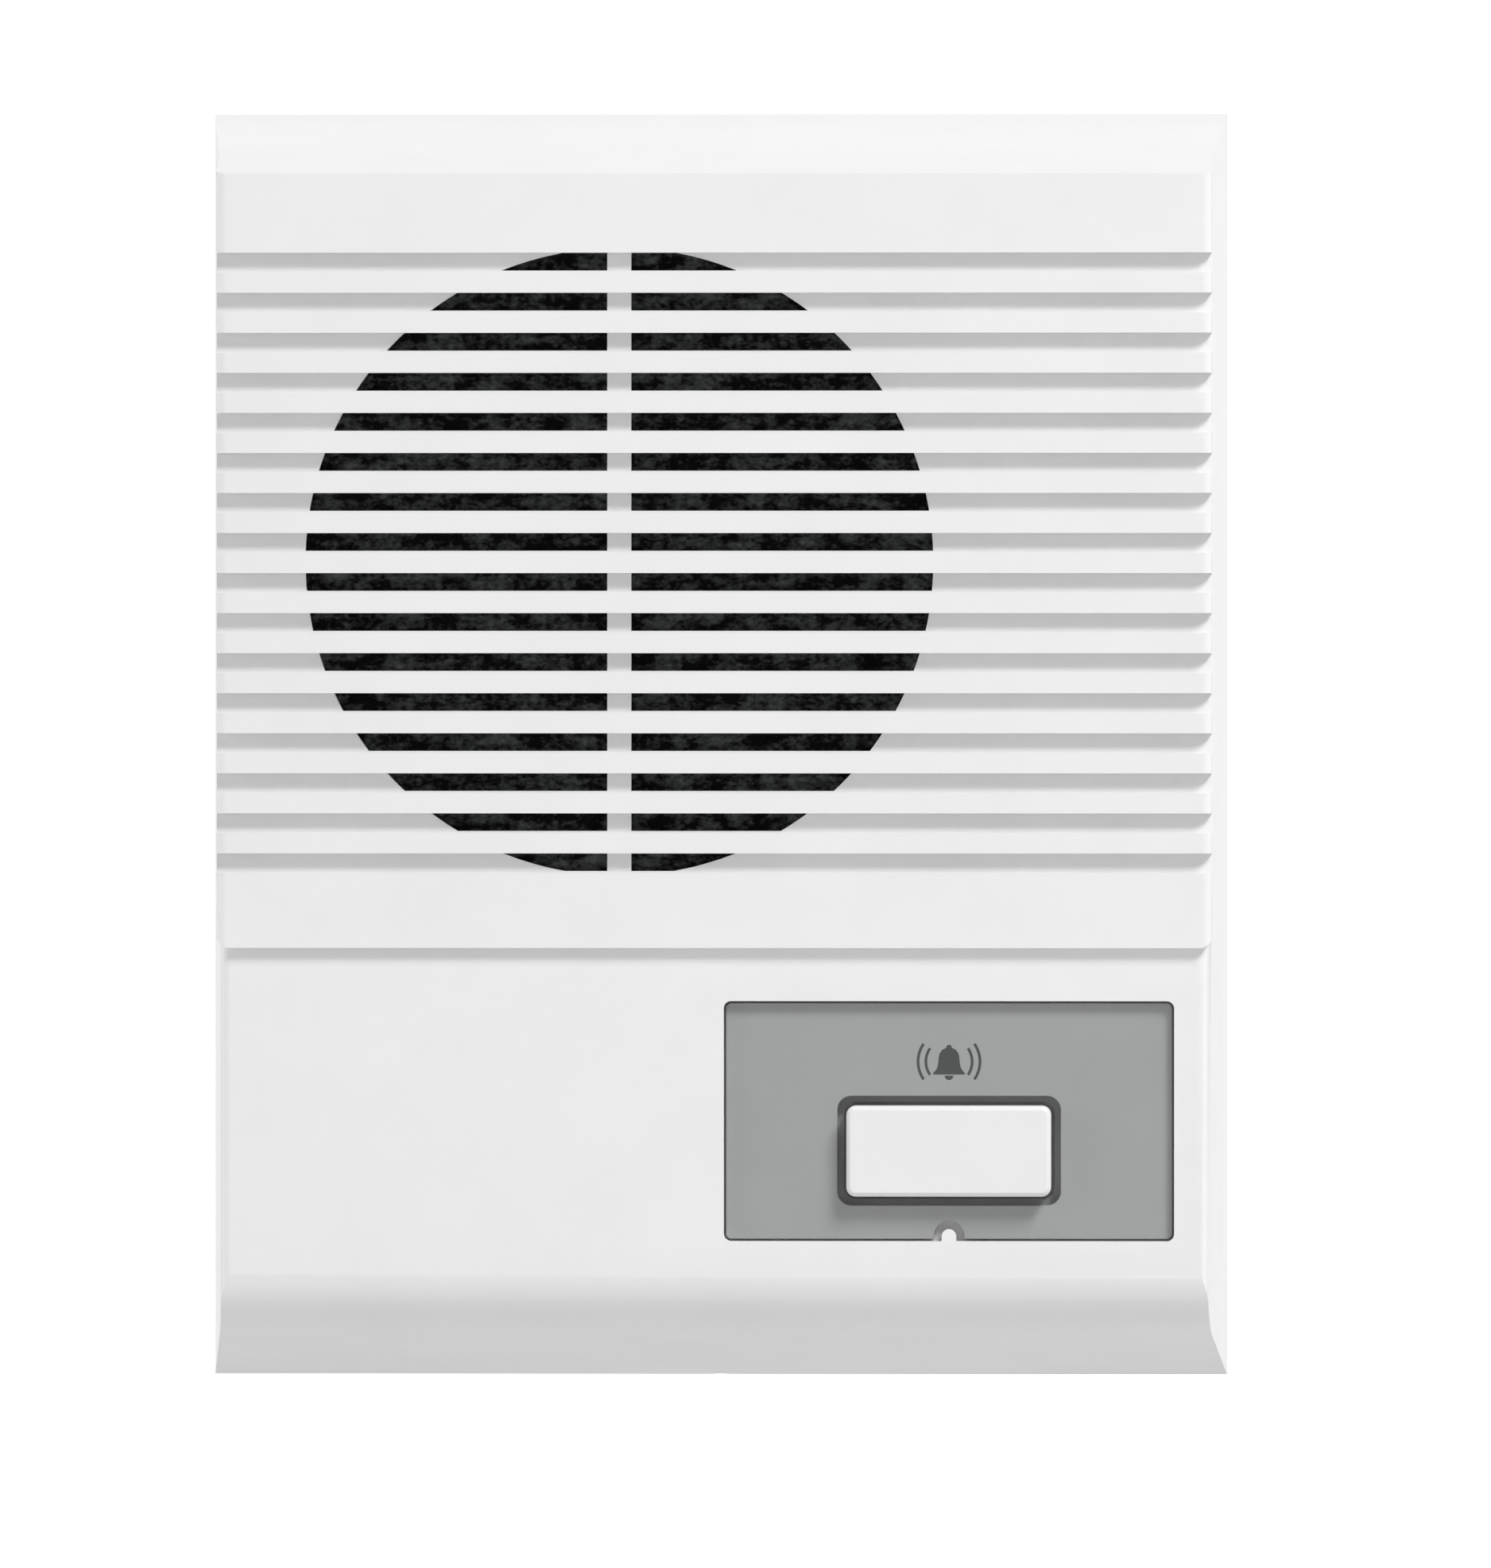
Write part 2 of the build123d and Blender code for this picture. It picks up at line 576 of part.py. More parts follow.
def make_speaker():
    """The moving-coil speaker, piece by piece."""
    pieces = {}
    pieces["speaker_cloth"] = peg(
        SPEAKER_X, SPEAKER_Y, SPEAKER_RADIUS, CLOTH_BACK, GRILLE_BACK
    )
    pieces["speaker_gasket"] = peg(
        SPEAKER_X, SPEAKER_Y, SPEAKER_RADIUS, GASKET_BACK, CLOTH_BACK
    ) - peg(SPEAKER_X, SPEAKER_Y, SEAT_INNER + GASKET_INSET, GASKET_BACK, CLOTH_BACK)

    ledge_back = LEDGE_FRONT - FRAME_SHEET
    frame = turned(
        [
            (BACK_RING_INNER, TOP_PLATE_FRONT),
            (BACK_RING_OUTER + FRAME_SHEET, TOP_PLATE_FRONT),
            (BACK_RING_OUTER + FRAME_SHEET, ledge_back),
            (SPIDER_RADIUS + FRAME_SHEET, ledge_back),
            (SEAT_INNER + FRAME_SHEET, FRAME_BACK),
            (SPEAKER_RADIUS, FRAME_BACK),
            (SPEAKER_RADIUS, FRAME_FRONT),
            (SEAT_INNER, FRAME_FRONT),
            (SPIDER_RADIUS, LEDGE_FRONT),
            (BACK_RING_OUTER, LEDGE_FRONT),
            (BACK_RING_OUTER, TOP_PLATE_FRONT + FRAME_SHEET),
            (BACK_RING_INNER, TOP_PLATE_FRONT + FRAME_SHEET),
        ]
    )
    window = turned_window(ledge_back + WINDOW_RIM, FRAME_BACK - WINDOW_RIM)
    for place in range(WINDOW_COUNT):
        turn = Pos(SPEAKER_X, SPEAKER_Y) * Rot(0, 0, place * 360 / WINDOW_COUNT)
        frame -= turn * window
    pieces["speaker_frame"] = frame

    pieces["top_plate"] = peg(
        SPEAKER_X, SPEAKER_Y, PLATE_RADIUS, MAGNET_FRONT, TOP_PLATE_FRONT
    ) - peg(SPEAKER_X, SPEAKER_Y, GAP_RADIUS, MAGNET_FRONT, TOP_PLATE_FRONT)
    magnet = peg(SPEAKER_X, SPEAKER_Y, MAGNET_RADIUS, MAGNET_BACK, MAGNET_FRONT)
    pieces["magnet_ring"] = magnet - peg(SPEAKER_X, SPEAKER_Y, MAGNET_BORE, MAGNET_BACK, MAGNET_FRONT)
    pole = turned(
        [
            (0, YOKE_BACK),
            (PLATE_RADIUS - YOKE_EDGE, YOKE_BACK),
            (PLATE_RADIUS, YOKE_BACK + YOKE_EDGE),
            (PLATE_RADIUS, MAGNET_BACK),
            (POLE_RADIUS, MAGNET_BACK),
            (POLE_RADIUS, TOP_PLATE_FRONT),
            (0, TOP_PLATE_FRONT),
        ]
    )
    pieces["pole_yoke"] = pole

    winding_back = COIL_MIDDLE - WINDING_LENGTH / 2
    winding_front = COIL_MIDDLE + WINDING_LENGTH / 2
    pieces["voice_coil"] = turned(
        [
            (FORMER_RADIUS, winding_back - FORMER_LAP),
            (COIL_OUTER, winding_back - FORMER_LAP),
            (COIL_OUTER, winding_back),
            (COIL_OUTER + WINDING_WALL, winding_back),
            (COIL_OUTER + WINDING_WALL, winding_front),
            (COIL_OUTER, winding_front),
            (COIL_OUTER, CONE_NECK + FORMER_PROUD),
            (FORMER_RADIUS, CONE_NECK + FORMER_PROUD),
        ]
    )
    pieces["speaker_cone"] = make_cone()
    pieces["dust_cap"] = make_dust_cap()
    pieces["cone_surround"] = make_surround()
    pieces["spider"] = make_spider()
    return pieces


def turned_window(low, high):
    """One opening between the basket's ribs, at the speaker's axis."""
    opening = Plane.YZ * (Pos(0, (low + high) / 2) * Rectangle(WINDOW_WIDTH, high - low))
    return Pos(BACK_RING_OUTER) * extrude(opening, amount=SPEAKER_RADIUS - BACK_RING_OUTER)


def cone_line(radius):
    """The cone's height at a radius, steeper inside the dust cap's foot than outside it."""
    neck = COIL_OUTER + GLUE
    if radius <= CONE_TURN_RADIUS:
        return CONE_NECK + CONE_TURN_RISE * (radius - neck) / (CONE_TURN_RADIUS - neck)
    share = (radius - CONE_TURN_RADIUS) / (CONE_EDGE_RADIUS - CONE_TURN_RADIUS)
    return CONE_NECK + CONE_TURN_RISE + (CONE_RISE - CONE_TURN_RISE) * share


def make_cone():
    """The paper cone, from its neck round the coil to its rim under the surround."""
    radii = (COIL_OUTER + GLUE, CONE_TURN_RADIUS, CONE_EDGE_RADIUS)
    front = [(radius, cone_line(radius)) for radius in radii]
    back = [(radius, height - CONE_PAPER) for radius, height in reversed(front)]
    return turned(front + back)


def make_dust_cap():
    """The dome glued over the coil, sitting on the cone."""
    foot = cone_line(DUST_CAP_RADIUS) + GLUE
    outer = ThreePointArc(
        (-DUST_CAP_RADIUS, foot), (0, foot + DUST_CAP_RISE), (DUST_CAP_RADIUS, foot)
    )
    inner = ThreePointArc(
        (-DUST_CAP_RADIUS + CONE_PAPER, foot),
        (0, foot + DUST_CAP_RISE - CONE_PAPER),
        (DUST_CAP_RADIUS - CONE_PAPER, foot),
    )
    outline = make_face([outer, Line(outer @ 1, inner @ 1), inner, Line(inner @ 0, outer @ 0)])
    outline &= Pos(DUST_CAP_RADIUS, foot) * Rectangle(2 * DUST_CAP_RADIUS, 4 * DUST_CAP_RISE)
    return Pos(SPEAKER_X, SPEAKER_Y) * revolve(Plane.XZ * outline, Axis.Z)


def make_surround():
    """The flexible rim: a flat seat on the frame and a low ridge in to the cone."""
    lip = CONE_EDGE_RADIUS - SURROUND_LAP
    quarter = (SEAT_INNER - CONE_EDGE_RADIUS) / 4
    front = [
        (lip, GASKET_BACK),
        (CONE_EDGE_RADIUS, GASKET_BACK),
        (CONE_EDGE_RADIUS + quarter, GASKET_BACK + ROLL_HEIGHT),
        (SEAT_INNER - quarter, GASKET_BACK + ROLL_HEIGHT),
        (SEAT_INNER, GASKET_BACK),
        (SPEAKER_RADIUS, GASKET_BACK),
    ]
    thick = SURROUND_THICK - GLUE
    back = [(radius, height - thick) for radius, height in reversed(front)]
    return turned(front + back)


def make_spider():
    """The corrugated disc that centres the coil, glued to the frame's ledge."""
    inner = COIL_OUTER + GLUE
    flat = BACK_RING_OUTER - SPIDER_CLEAR
    base = LEDGE_FRONT + GLUE
    step = (flat - inner) / (2 * SPIDER_WAVES)
    back = [(inner, base)]
    for fold in range(1, 2 * SPIDER_WAVES):
        swing = SPIDER_SWING if fold % 2 else -SPIDER_SWING
        back.append((inner + fold * step, base + swing))
    back += [(flat, base), (SPIDER_RADIUS - GLUE, base)]
    front = [(radius, height + SPIDER_THICK) for radius, height in reversed(back)]
    return turned(back + front)


def make_speaker_fittings():
    """The terminal strip, its lugs, and the clamps and screws that hold the speaker."""
    pieces = {}
    strip_back = FRAME_BACK - STRIP_THICK
    strip = block(
        SPEAKER_X - STRIP_WIDTH / 2,
        SPEAKER_X + STRIP_WIDTH / 2,
        SPEAKER_Y - STRIP_OUTER,
        SPEAKER_Y - STRIP_INNER,
        strip_back,
        FRAME_BACK,
    )
    strip = chamfer(strip.edges().filter_by(Axis.Z), STRIP_CORNER)
    lugs = Part()
    for x in LUG_PLACES:
        lug = tablet(
            x,
            SPEAKER_Y - (LUG_OUTER + SPEAKER_RADIUS) / 2,
            LUG_WIDTH,
            LUG_OUTER - SPEAKER_RADIUS,
            LUG_CORNER,
            strip_back - LUG_THICK,
            strip_back,
        )
        eye_y = SPEAKER_Y - (LUG_OUTER + STRIP_OUTER) / 2
        lugs += lug - peg(x, eye_y, LEAD_RADIUS + LEAD_GAP, strip_back - LUG_THICK, strip_back)
    pieces["terminal_strip"] = strip
    pieces["speaker_lugs"] = lugs
    clamps = Part()
    screws = Part()
    for x, y, angle in CLAMP_PLACES:
        clamp = make_clamp(x, y, angle)
        clamps += clamp
        screws += screw(
            x, y, CLAMP_SCREW_RADIUS, FRAME_BACK - CLAMP_THICK, FRAME_BACK + CLAMP_SCREW_GRIP
        )
    pieces["speaker_clamps"] = clamps
    pieces["speaker_screws"] = screws
    return pieces


def make_clamp(x, y, angle):
    """A small plate from its screw boss in over the speaker's flange."""
    reach = CLAMP_OUT + CLAMP_LAP
    outer = CLAMP_BOSS_RADIUS
    length = reach + outer
    outline = Pos((outer - reach) / 2, 0) * Rectangle(length, CLAMP_WIDTH)
    outline = chamfer(outline.vertices(), CLAMP_CORNER)
    outline -= Circle(CLAMP_SCREW_RADIUS + HOLE_GAP)
    plate = extrude(outline, amount=CLAMP_THICK)
    return Pos(x, y, FRAME_BACK - CLAMP_THICK) * Rot(0, 0, angle) * plate


def make_face_plate():
    """The grey plate with its button opening and guiding lip, notch and two pegs."""
    plate = tablet(
        PLATE_X, PLATE_Y, FACE_PLATE_WIDTH, FACE_PLATE_HEIGHT, FACE_PLATE_CORNER, PLATE_BACK, PLATE_FRONT
    )
    plate += tablet(PLATE_X, BUTTON_Y, FLANGE_WIDTH, FLANGE_HEIGHT, BUTTON_CORNER, LIP_BACK, PLATE_BACK)
    for gap, back in ((BUTTON_GAP, LIP_BACK + LIP_THICK), (LIP_GAP, LIP_BACK - OVERRUN)):
        plate -= tablet(
            PLATE_X,
            BUTTON_Y,
            BUTTON_WIDTH + 2 * gap,
            BUTTON_HEIGHT + 2 * gap,
            BUTTON_CORNER + gap / 2,
            back,
            PLATE_FRONT + OVERRUN,
        )
    plate -= foot_tab(0, 0, PLATE_BACK, PLATE_FRONT)
    for x, y in PEG_PLACES:
        plate += peg(PLATE_X + x, PLATE_Y + y, PEG_RADIUS, PLATE_BACK - PEG_LENGTH, PLATE_BACK)
    return plate


def make_call_button():
    """The cap: a shell with a retaining flange and a stem down to the switch."""
    body = tablet(
        PLATE_X, BUTTON_Y, BUTTON_WIDTH, BUTTON_HEIGHT, BUTTON_CORNER, FLANGE_BACK, BUTTON_FRONT
    )
    body = chamfer(body.edges().group_by(Axis.Z)[-1], BUTTON_EDGE)
    body += tablet(
        PLATE_X, BUTTON_Y, FLANGE_WIDTH, FLANGE_HEIGHT, BUTTON_CORNER, FLANGE_BACK, FLANGE_FRONT
    )
    body -= tablet(
        PLATE_X,
        BUTTON_Y,
        BUTTON_WIDTH - 2 * BUTTON_WALL,
        BUTTON_HEIGHT - 2 * BUTTON_WALL,
        BUTTON_CORNER,
        FLANGE_BACK,
        BUTTON_FRONT - BUTTON_WALL,
    )
    body += peg(PLATE_X, BUTTON_Y, STEM_RADIUS, PLUNGER_FRONT, BUTTON_FRONT - BUTTON_WALL)
    return body


def make_switch():
    """The push switch on the board under the button."""
    pieces = {}
    half = SWITCH_WIDTH / 2
    inner = half - SWITCH_WALL
    housing = tablet(
        PLATE_X, BUTTON_Y, SWITCH_WIDTH, SWITCH_WIDTH, SWITCH_CORNER, BASE_FRONT, SWITCH_FRONT
    )
    housing = chamfer(housing.edges().group_by(Axis.Z)[-1], SWITCH_EDGE)
    housing -= block(
        PLATE_X - inner, PLATE_X + inner, BUTTON_Y - inner, BUTTON_Y + inner, BASE_FRONT, SWITCH_CEILING
    )
    housing -= peg(
        PLATE_X, BUTTON_Y, PLUNGER_RADIUS + PLUNGER_BORE_GAP, SWITCH_CEILING, SWITCH_FRONT + OVERRUN
    )
    base = tablet(PLATE_X, BUTTON_Y, SWITCH_WIDTH, SWITCH_WIDTH, SWITCH_CORNER, BOARD_FRONT, BASE_FRONT)
    contacts = Part()
    contact_front = BRIDGE_BACK - BUTTON_TRAVEL - CONTACT_GAP
    for side in (-1, 1):
        x = PLATE_X + side * CONTACT_X
        base -= pin(x, BUTTON_Y, PIN_WIDTH + PIN_GAP, BOARD_FRONT, BASE_FRONT)
        contact = block(
            x - CONTACT_WIDTH / 2,
            x + CONTACT_WIDTH / 2,
            BUTTON_Y - BRIDGE_WIDTH / 2,
            BUTTON_Y + BRIDGE_WIDTH / 2,
            BASE_FRONT,
            contact_front,
        )
        contacts += contact + pin(x, BUTTON_Y, PIN_WIDTH, BOARD_BACK - PIN_STICK_OUT, BASE_FRONT)
    plunger = turned_at(
        PLATE_X,
        BUTTON_Y,
        [
            (0, BRIDGE_BACK - SPIGOT_LENGTH),
            (SPIGOT_RADIUS, BRIDGE_BACK - SPIGOT_LENGTH),
            (SPIGOT_RADIUS, PLUNGER_FLANGE_BACK),
            (PLUNGER_FLANGE_RADIUS, PLUNGER_FLANGE_BACK),
            (PLUNGER_FLANGE_RADIUS, PLUNGER_FLANGE_FRONT),
            (PLUNGER_RADIUS, PLUNGER_FLANGE_FRONT),
            (PLUNGER_RADIUS, PLUNGER_FRONT),
            (0, PLUNGER_FRONT),
        ],
    )
    bridge = block(
        PLATE_X - BRIDGE_LENGTH / 2,
        PLATE_X + BRIDGE_LENGTH / 2,
        BUTTON_Y - BRIDGE_WIDTH / 2,
        BUTTON_Y + BRIDGE_WIDTH / 2,
        BRIDGE_BACK,
        PLUNGER_FLANGE_BACK,
    )
    ring = peg(PLATE_X, BUTTON_Y, SPRING_RADIUS + SPRING_WIRE, BRIDGE_BACK, PLUNGER_FLANGE_BACK)
    bridge += ring
    bridge -= peg(PLATE_X, BUTTON_Y, SPIGOT_RADIUS + PIN_GAP, BRIDGE_BACK, PLUNGER_FLANGE_BACK)
    coil_height = BRIDGE_BACK - BASE_FRONT - 2 * SPRING_WIRE
    coil = Helix(pitch=coil_height / SPRING_TURNS, height=coil_height, radius=SPRING_RADIUS)
    wire = Plane(origin=coil @ 0, z_dir=coil % 0) * RegularPolygon(SPRING_WIRE, 4)
    spring = Pos(PLATE_X, BUTTON_Y, BASE_FRONT + SPRING_WIRE) * sweep(wire, path=coil, is_frenet=True)
    pieces["switch_housing"] = housing
    pieces["switch_base"] = base
    pieces["fixed_contacts"] = contacts
    pieces["switch_plunger"] = plunger
    pieces["moving_contact"] = bridge
    pieces["switch_spring"] = spring
    return pieces


def turned_at(x, y, points):
    """A round piece turned about an axis out of the wall at a place."""
    outline = make_face(Polyline(*points, close=True))
    return Pos(x, y) * revolve(Plane.XZ * outline, Axis.Z)


def make_board():
    """The circuit board with its holes, its screws and the parts soldered to its front."""
    pieces = {}
    board = tablet(
        (BOARD_LEFT + BOARD_RIGHT) / 2,
        (BOARD_BOTTOM + BOARD_TOP) / 2,
        BOARD_RIGHT - BOARD_LEFT,
        BOARD_TOP - BOARD_BOTTOM,
        BOARD_CORNER,
        BOARD_BACK,
        BOARD_FRONT,
    )
    holes = Part()
    screws = Part()
    for x, y in BOARD_HOLES:
        holes += peg(x, y, BOARD_SCREW_RADIUS + HOLE_GAP, BOARD_BACK - OVERRUN, BOARD_FRONT + OVERRUN)
        screws += screw(x, y, BOARD_SCREW_RADIUS, BOARD_BACK, BOARD_FRONT + BOARD_SCREW_GRIP)
    for side in (-1, 1):
        x = PLATE_X + side * CONTACT_X
        holes += pin(x, BUTTON_Y, PIN_WIDTH + PIN_GAP, BOARD_BACK - OVERRUN, BOARD_FRONT + OVERRUN)
    for x, y in TERMINAL_PLACES:
        pin_y = y + TERMINAL_PIN_OFFSET
        holes += pin(x, pin_y, PIN_WIDTH + PIN_GAP, BOARD_BACK - OVERRUN, BOARD_FRONT + OVERRUN)
    pieces["board_screws"] = screws

    x, y = CAPACITOR_PLACE
    can = peg(x, y, CAPACITOR_RADIUS, BOARD_FRONT, BOARD_FRONT + CAPACITOR_LENGTH)
    pieces["capacitor"] = chamfer(can.edges().group_by(Axis.Z)[-1], CAPACITOR_EDGE)

    resistors = Part()
    for place in range(RESISTOR_COUNT):
        y = RESISTOR_PLACE[1] + place * RESISTOR_SPACING
        resistors += make_resistor(RESISTOR_PLACE[0], y)
        for side in (-1, 1):
            foot = RESISTOR_PLACE[0] + side * RESISTOR_SPAN / 2
            holes += pin(foot, y, RESISTOR_LEAD + PIN_GAP, BOARD_BACK - OVERRUN, BOARD_FRONT + OVERRUN)
    pieces["resistors"] = resistors
    pieces["circuit_board"] = board - holes
    return pieces


def make_resistor(x, y):
    """One resistor lying on the board, its leads bent down through it."""
    height = BOARD_FRONT + RESISTOR_RADIUS + RESISTOR_LIFT
    half = RESISTOR_SPAN / 2
    foot = BOARD_BACK - PIN_STICK_OUT
    path = Polyline((x - half, y, foot), (x - half, y, height), (x + half, y, height), (x + half, y, foot))
    wire = Pos(x - half, y, foot) * Rectangle(RESISTOR_LEAD, RESISTOR_LEAD)
    lead = sweep(wire, path=path, transition=Transition.RIGHT)
    return lead + Pos(x, y, height) * (Rot(0, 90, 0) * Cylinder(RESISTOR_RADIUS, RESISTOR_LENGTH))


def make_terminals():
    """The wiring terminals on the back of the board."""
    pieces = {}
    width = TERMINAL_COUNT * TERMINAL_PITCH
    body = tablet(TERMINAL_X, TERMINAL_Y, width, TERMINAL_HEIGHT, TERMINAL_CORNER, TERMINAL_BACK, BOARD_BACK)
    plates = Part()
    clamps = Part()
    screws = Part()
    plate_back = WELL_FLOOR - CONTACT_PLATE_THICK
    washer_back = plate_back - WASHER_THICK
    for x, y in TERMINAL_PLACES:
        well_low = TERMINAL_Y - TERMINAL_HEIGHT / 2
        left = x - WELL_WIDTH / 2
        right = x + WELL_WIDTH / 2
        well_top = well_low + WELL_HEIGHT
        body -= block(left, right, well_low, well_top, TERMINAL_BACK, WELL_FLOOR)
        body -= pilot(x, y, TERMINAL_SCREW_RADIUS, WELL_FLOOR, TERMINAL_SCREW_REACH)
        plate = block(
            left + CONTACT_PLATE_GAP,
            right - CONTACT_PLATE_GAP,
            well_low + CONTACT_PLATE_GAP,
            well_top - CONTACT_PLATE_GAP,
            plate_back,
            WELL_FLOOR,
        )
        plate -= peg(x, y, TERMINAL_SCREW_RADIUS + PILOT_GAP, plate_back, WELL_FLOOR)
        pin_y = y + TERMINAL_PIN_OFFSET
        plates += plate + pin(x, pin_y, PIN_WIDTH, plate_back, BOARD_FRONT + PIN_STICK_OUT)
        body -= pin(x, pin_y, PIN_WIDTH + PIN_GAP, WELL_FLOOR, BOARD_BACK)
        half = WASHER_SIZE / 2
        washer = block(x - half, x + half, y - half, y + half, washer_back, plate_back)
        clamps += washer - peg(x, y, TERMINAL_SCREW_RADIUS + HOLE_GAP, washer_back, plate_back)
        head_back = washer_back - TERMINAL_HEAD_THICK
        screws += peg(x, y, TERMINAL_HEAD_RADIUS, head_back, washer_back)
        screws += peg(x, y, TERMINAL_SCREW_RADIUS, washer_back, WELL_FLOOR + TERMINAL_SCREW_REACH)
    pieces["terminal_block"] = body
    pieces["terminal_plates"] = plates
    pieces["terminal_clamps"] = clamps
    pieces["terminal_screws"] = screws
    return pieces


def make_chassis():
    """The inner back cover with its window, hook slots, notch and stand-off ribs."""
    pieces = {}
    width = 2 * (INNER_HALF_WIDTH - CHASSIS_GAP)
    height = 2 * (INNER_HALF_HEIGHT - CHASSIS_GAP)
    chassis = tablet(0, 0, width, height, CHASSIS_CORNER, CHASSIS_BACK, CHASSIS_FRONT)
    for side in (-1, 1):
        chassis += tablet(
            side * STANDOFF_X, 0, STANDOFF_WIDTH, STANDOFF_LENGTH, CUTOUT_CORNER, BRACKET_SHEET, CHASSIS_BACK
        )
        low = HOOK_ROOT - HOOK_SLOT_DROP
        high = HOOK_ROOT + BRACKET_SHEET + HOOK_SLOT_RIM
        chassis -= tablet(
            side * HOOK_X,
            (low + high) / 2,
            HOOK_WIDTH + 2 * HOOK_SLOT_GAP,
            high - low,
            CUTOUT_CORNER,
            CHASSIS_BACK - OVERRUN,
            CHASSIS_FRONT + OVERRUN,
        )
    window_width = TERMINAL_COUNT * TERMINAL_PITCH + 2 * TERMINAL_WINDOW_GAP
    window_height = TERMINAL_HEIGHT + 2 * TERMINAL_WINDOW_GAP
    chassis -= tablet(
        TERMINAL_X,
        TERMINAL_Y,
        window_width,
        window_height,
        CUTOUT_CORNER,
        CHASSIS_BACK - OVERRUN,
        CHASSIS_FRONT + OVERRUN,
    )
    notch_top = TAB_FACE + LOCK_NOTCH_GAP
    notch_half = LOCK_BLOCK_WIDTH / 2 + LOCK_NOTCH_GAP
    tip_half = LOCK_SCREW_RADIUS + LOCK_TIP_GAP
    tip_top = TAB_FACE + LOCK_REACH + LOCK_TIP_GAP
    for half, top in ((notch_half, notch_top), (tip_half, tip_top)):
        chassis -= block(-half, half, -HOUSING_HEIGHT, top, CHASSIS_BACK - OVERRUN, CHASSIS_FRONT + OVERRUN)
    screws = Part()
    for x, y in CHASSIS_BOSSES:
        hole = CHASSIS_SCREW_RADIUS + HOLE_GAP
        chassis -= peg(x, y, hole, CHASSIS_BACK - OVERRUN, CHASSIS_FRONT + OVERRUN)
        screws += screw(x, y, CHASSIS_SCREW_RADIUS, CHASSIS_BACK, CHASSIS_FRONT + CHASSIS_SCREW_GRIP)
    pieces["rear_chassis"] = chassis
    pieces["chassis_screws"] = screws
    return pieces


def make_bracket():
    """The pressed steel wall bracket with two hooks, a lock tab and its screw slots."""
    bracket = tablet(0, 0, BRACKET_WIDTH, BRACKET_HEIGHT, BRACKET_CORNER, 0, BRACKET_SHEET)
    bracket -= tablet(
        0, 0, CABLE_OPENING_WIDTH, CABLE_OPENING_HEIGHT, BRACKET_CORNER, -OVERRUN, BRACKET_SHEET + OVERRUN
    )
    hook_under = CHASSIS_FRONT + HOOK_CLEARANCE
    hook_top = hook_under + BRACKET_SHEET
    lip = HOOK_ROOT + BRACKET_SHEET + HOOK_REACH
    for side in (-1, 1):
        slot = Pos(0, side * WALL_SLOT_SPACING / 2) * SlotOverall(
            WALL_SLOT_LENGTH, 2 * WALL_SLOT_RADIUS, rotation=90
        )
        bracket -= extrude(slot, amount=BRACKET_SHEET)
        hook = make_face(
            Polyline(
                (HOOK_ROOT, BRACKET_SHEET / 2),
                (HOOK_ROOT, hook_top),
                (lip, hook_top),
                (lip, hook_under),
                (HOOK_ROOT + BRACKET_SHEET, hook_under),
                (HOOK_ROOT + BRACKET_SHEET, BRACKET_SHEET / 2),
                close=True,
            )
        )
        hook = fillet(hook.vertices().sort_by_distance((HOOK_ROOT, hook_top))[0], HOOK_BEND)
        bracket += Pos(side * HOOK_X) * extrude(Plane.YZ * hook, amount=HOOK_WIDTH / 2, both=True)
        blank = hook_top + HOOK_REACH
        bracket -= block(
            side * HOOK_X - HOOK_WIDTH / 2 - HOOK_RELIEF,
            side * HOOK_X + HOOK_WIDTH / 2 + HOOK_RELIEF,
            HOOK_ROOT - blank,
            HOOK_ROOT,
            -OVERRUN,
            BRACKET_SHEET,
        )
    tab_back = TAB_FACE - BRACKET_SHEET
    tab = block(-TAB_WIDTH / 2, TAB_WIDTH / 2, tab_back, TAB_FACE, BRACKET_SHEET / 2, TAB_HEIGHT)
    tab = fillet(tab.edges().filter_by(Axis.Y).group_by(Axis.Z)[-1], TAB_CORNER)
    bracket += tab
    bore = Location((0, TAB_FACE, LOCK_Z), (90, 0, 0)) * Cylinder(TAB_BORE, 4 * BRACKET_SHEET)
    return bracket - bore


def make_lock_screw():
    """The screw that comes up from below through the cover into the bracket's tab."""
    head_low = -HOUSING_HEIGHT / 2 + LOCK_HEAD_SUNK
    under_head = head_low + LOCK_HEAD_THICK
    tip = TAB_FACE + LOCK_REACH
    head = Cylinder(LOCK_HEAD_RADIUS, LOCK_HEAD_THICK, align=(Align.CENTER, Align.CENTER, Align.MIN))
    shank = Pos(0, 0, LOCK_HEAD_THICK) * Cylinder(
        LOCK_SCREW_RADIUS, tip - under_head, align=(Align.CENTER, Align.CENTER, Align.MIN)
    )
    return Location((0, head_low, LOCK_Z), (-90, 0, 0)) * (head + shank)


def make_leads():
    """The two leads from the speaker's lugs down to the circuit board."""
    pieces = {}
    lug_back = FRAME_BACK - STRIP_THICK - LUG_THICK
    eye_y = SPEAKER_Y - (LUG_OUTER + STRIP_OUTER) / 2
    landing = BOARD_TOP - LEAD_LANDING
    for name, x, side in (
        ("speaker_lead_red", LUG_PLACES[0], -1),
        ("speaker_lead_black", LUG_PLACES[1], 1),
    ):
        start = (x, eye_y, lug_back + LUG_THICK)
        out = x + side * LEAD_SPREAD
        route = [
            start,
            (x, eye_y, lug_back - LEAD_STUB),
            (out, eye_y - LEAD_STUB, lug_back - LEAD_FALL),
            (out, landing, BOARD_FRONT + LEAD_STUB),
            (out, landing, BOARD_FRONT),
        ]
        path = FilletPolyline(*route, radius=LEAD_BEND)
        pieces[name] = sweep(Pos(*start) * RegularPolygon(LEAD_RADIUS, 8), path=path)
    return pieces


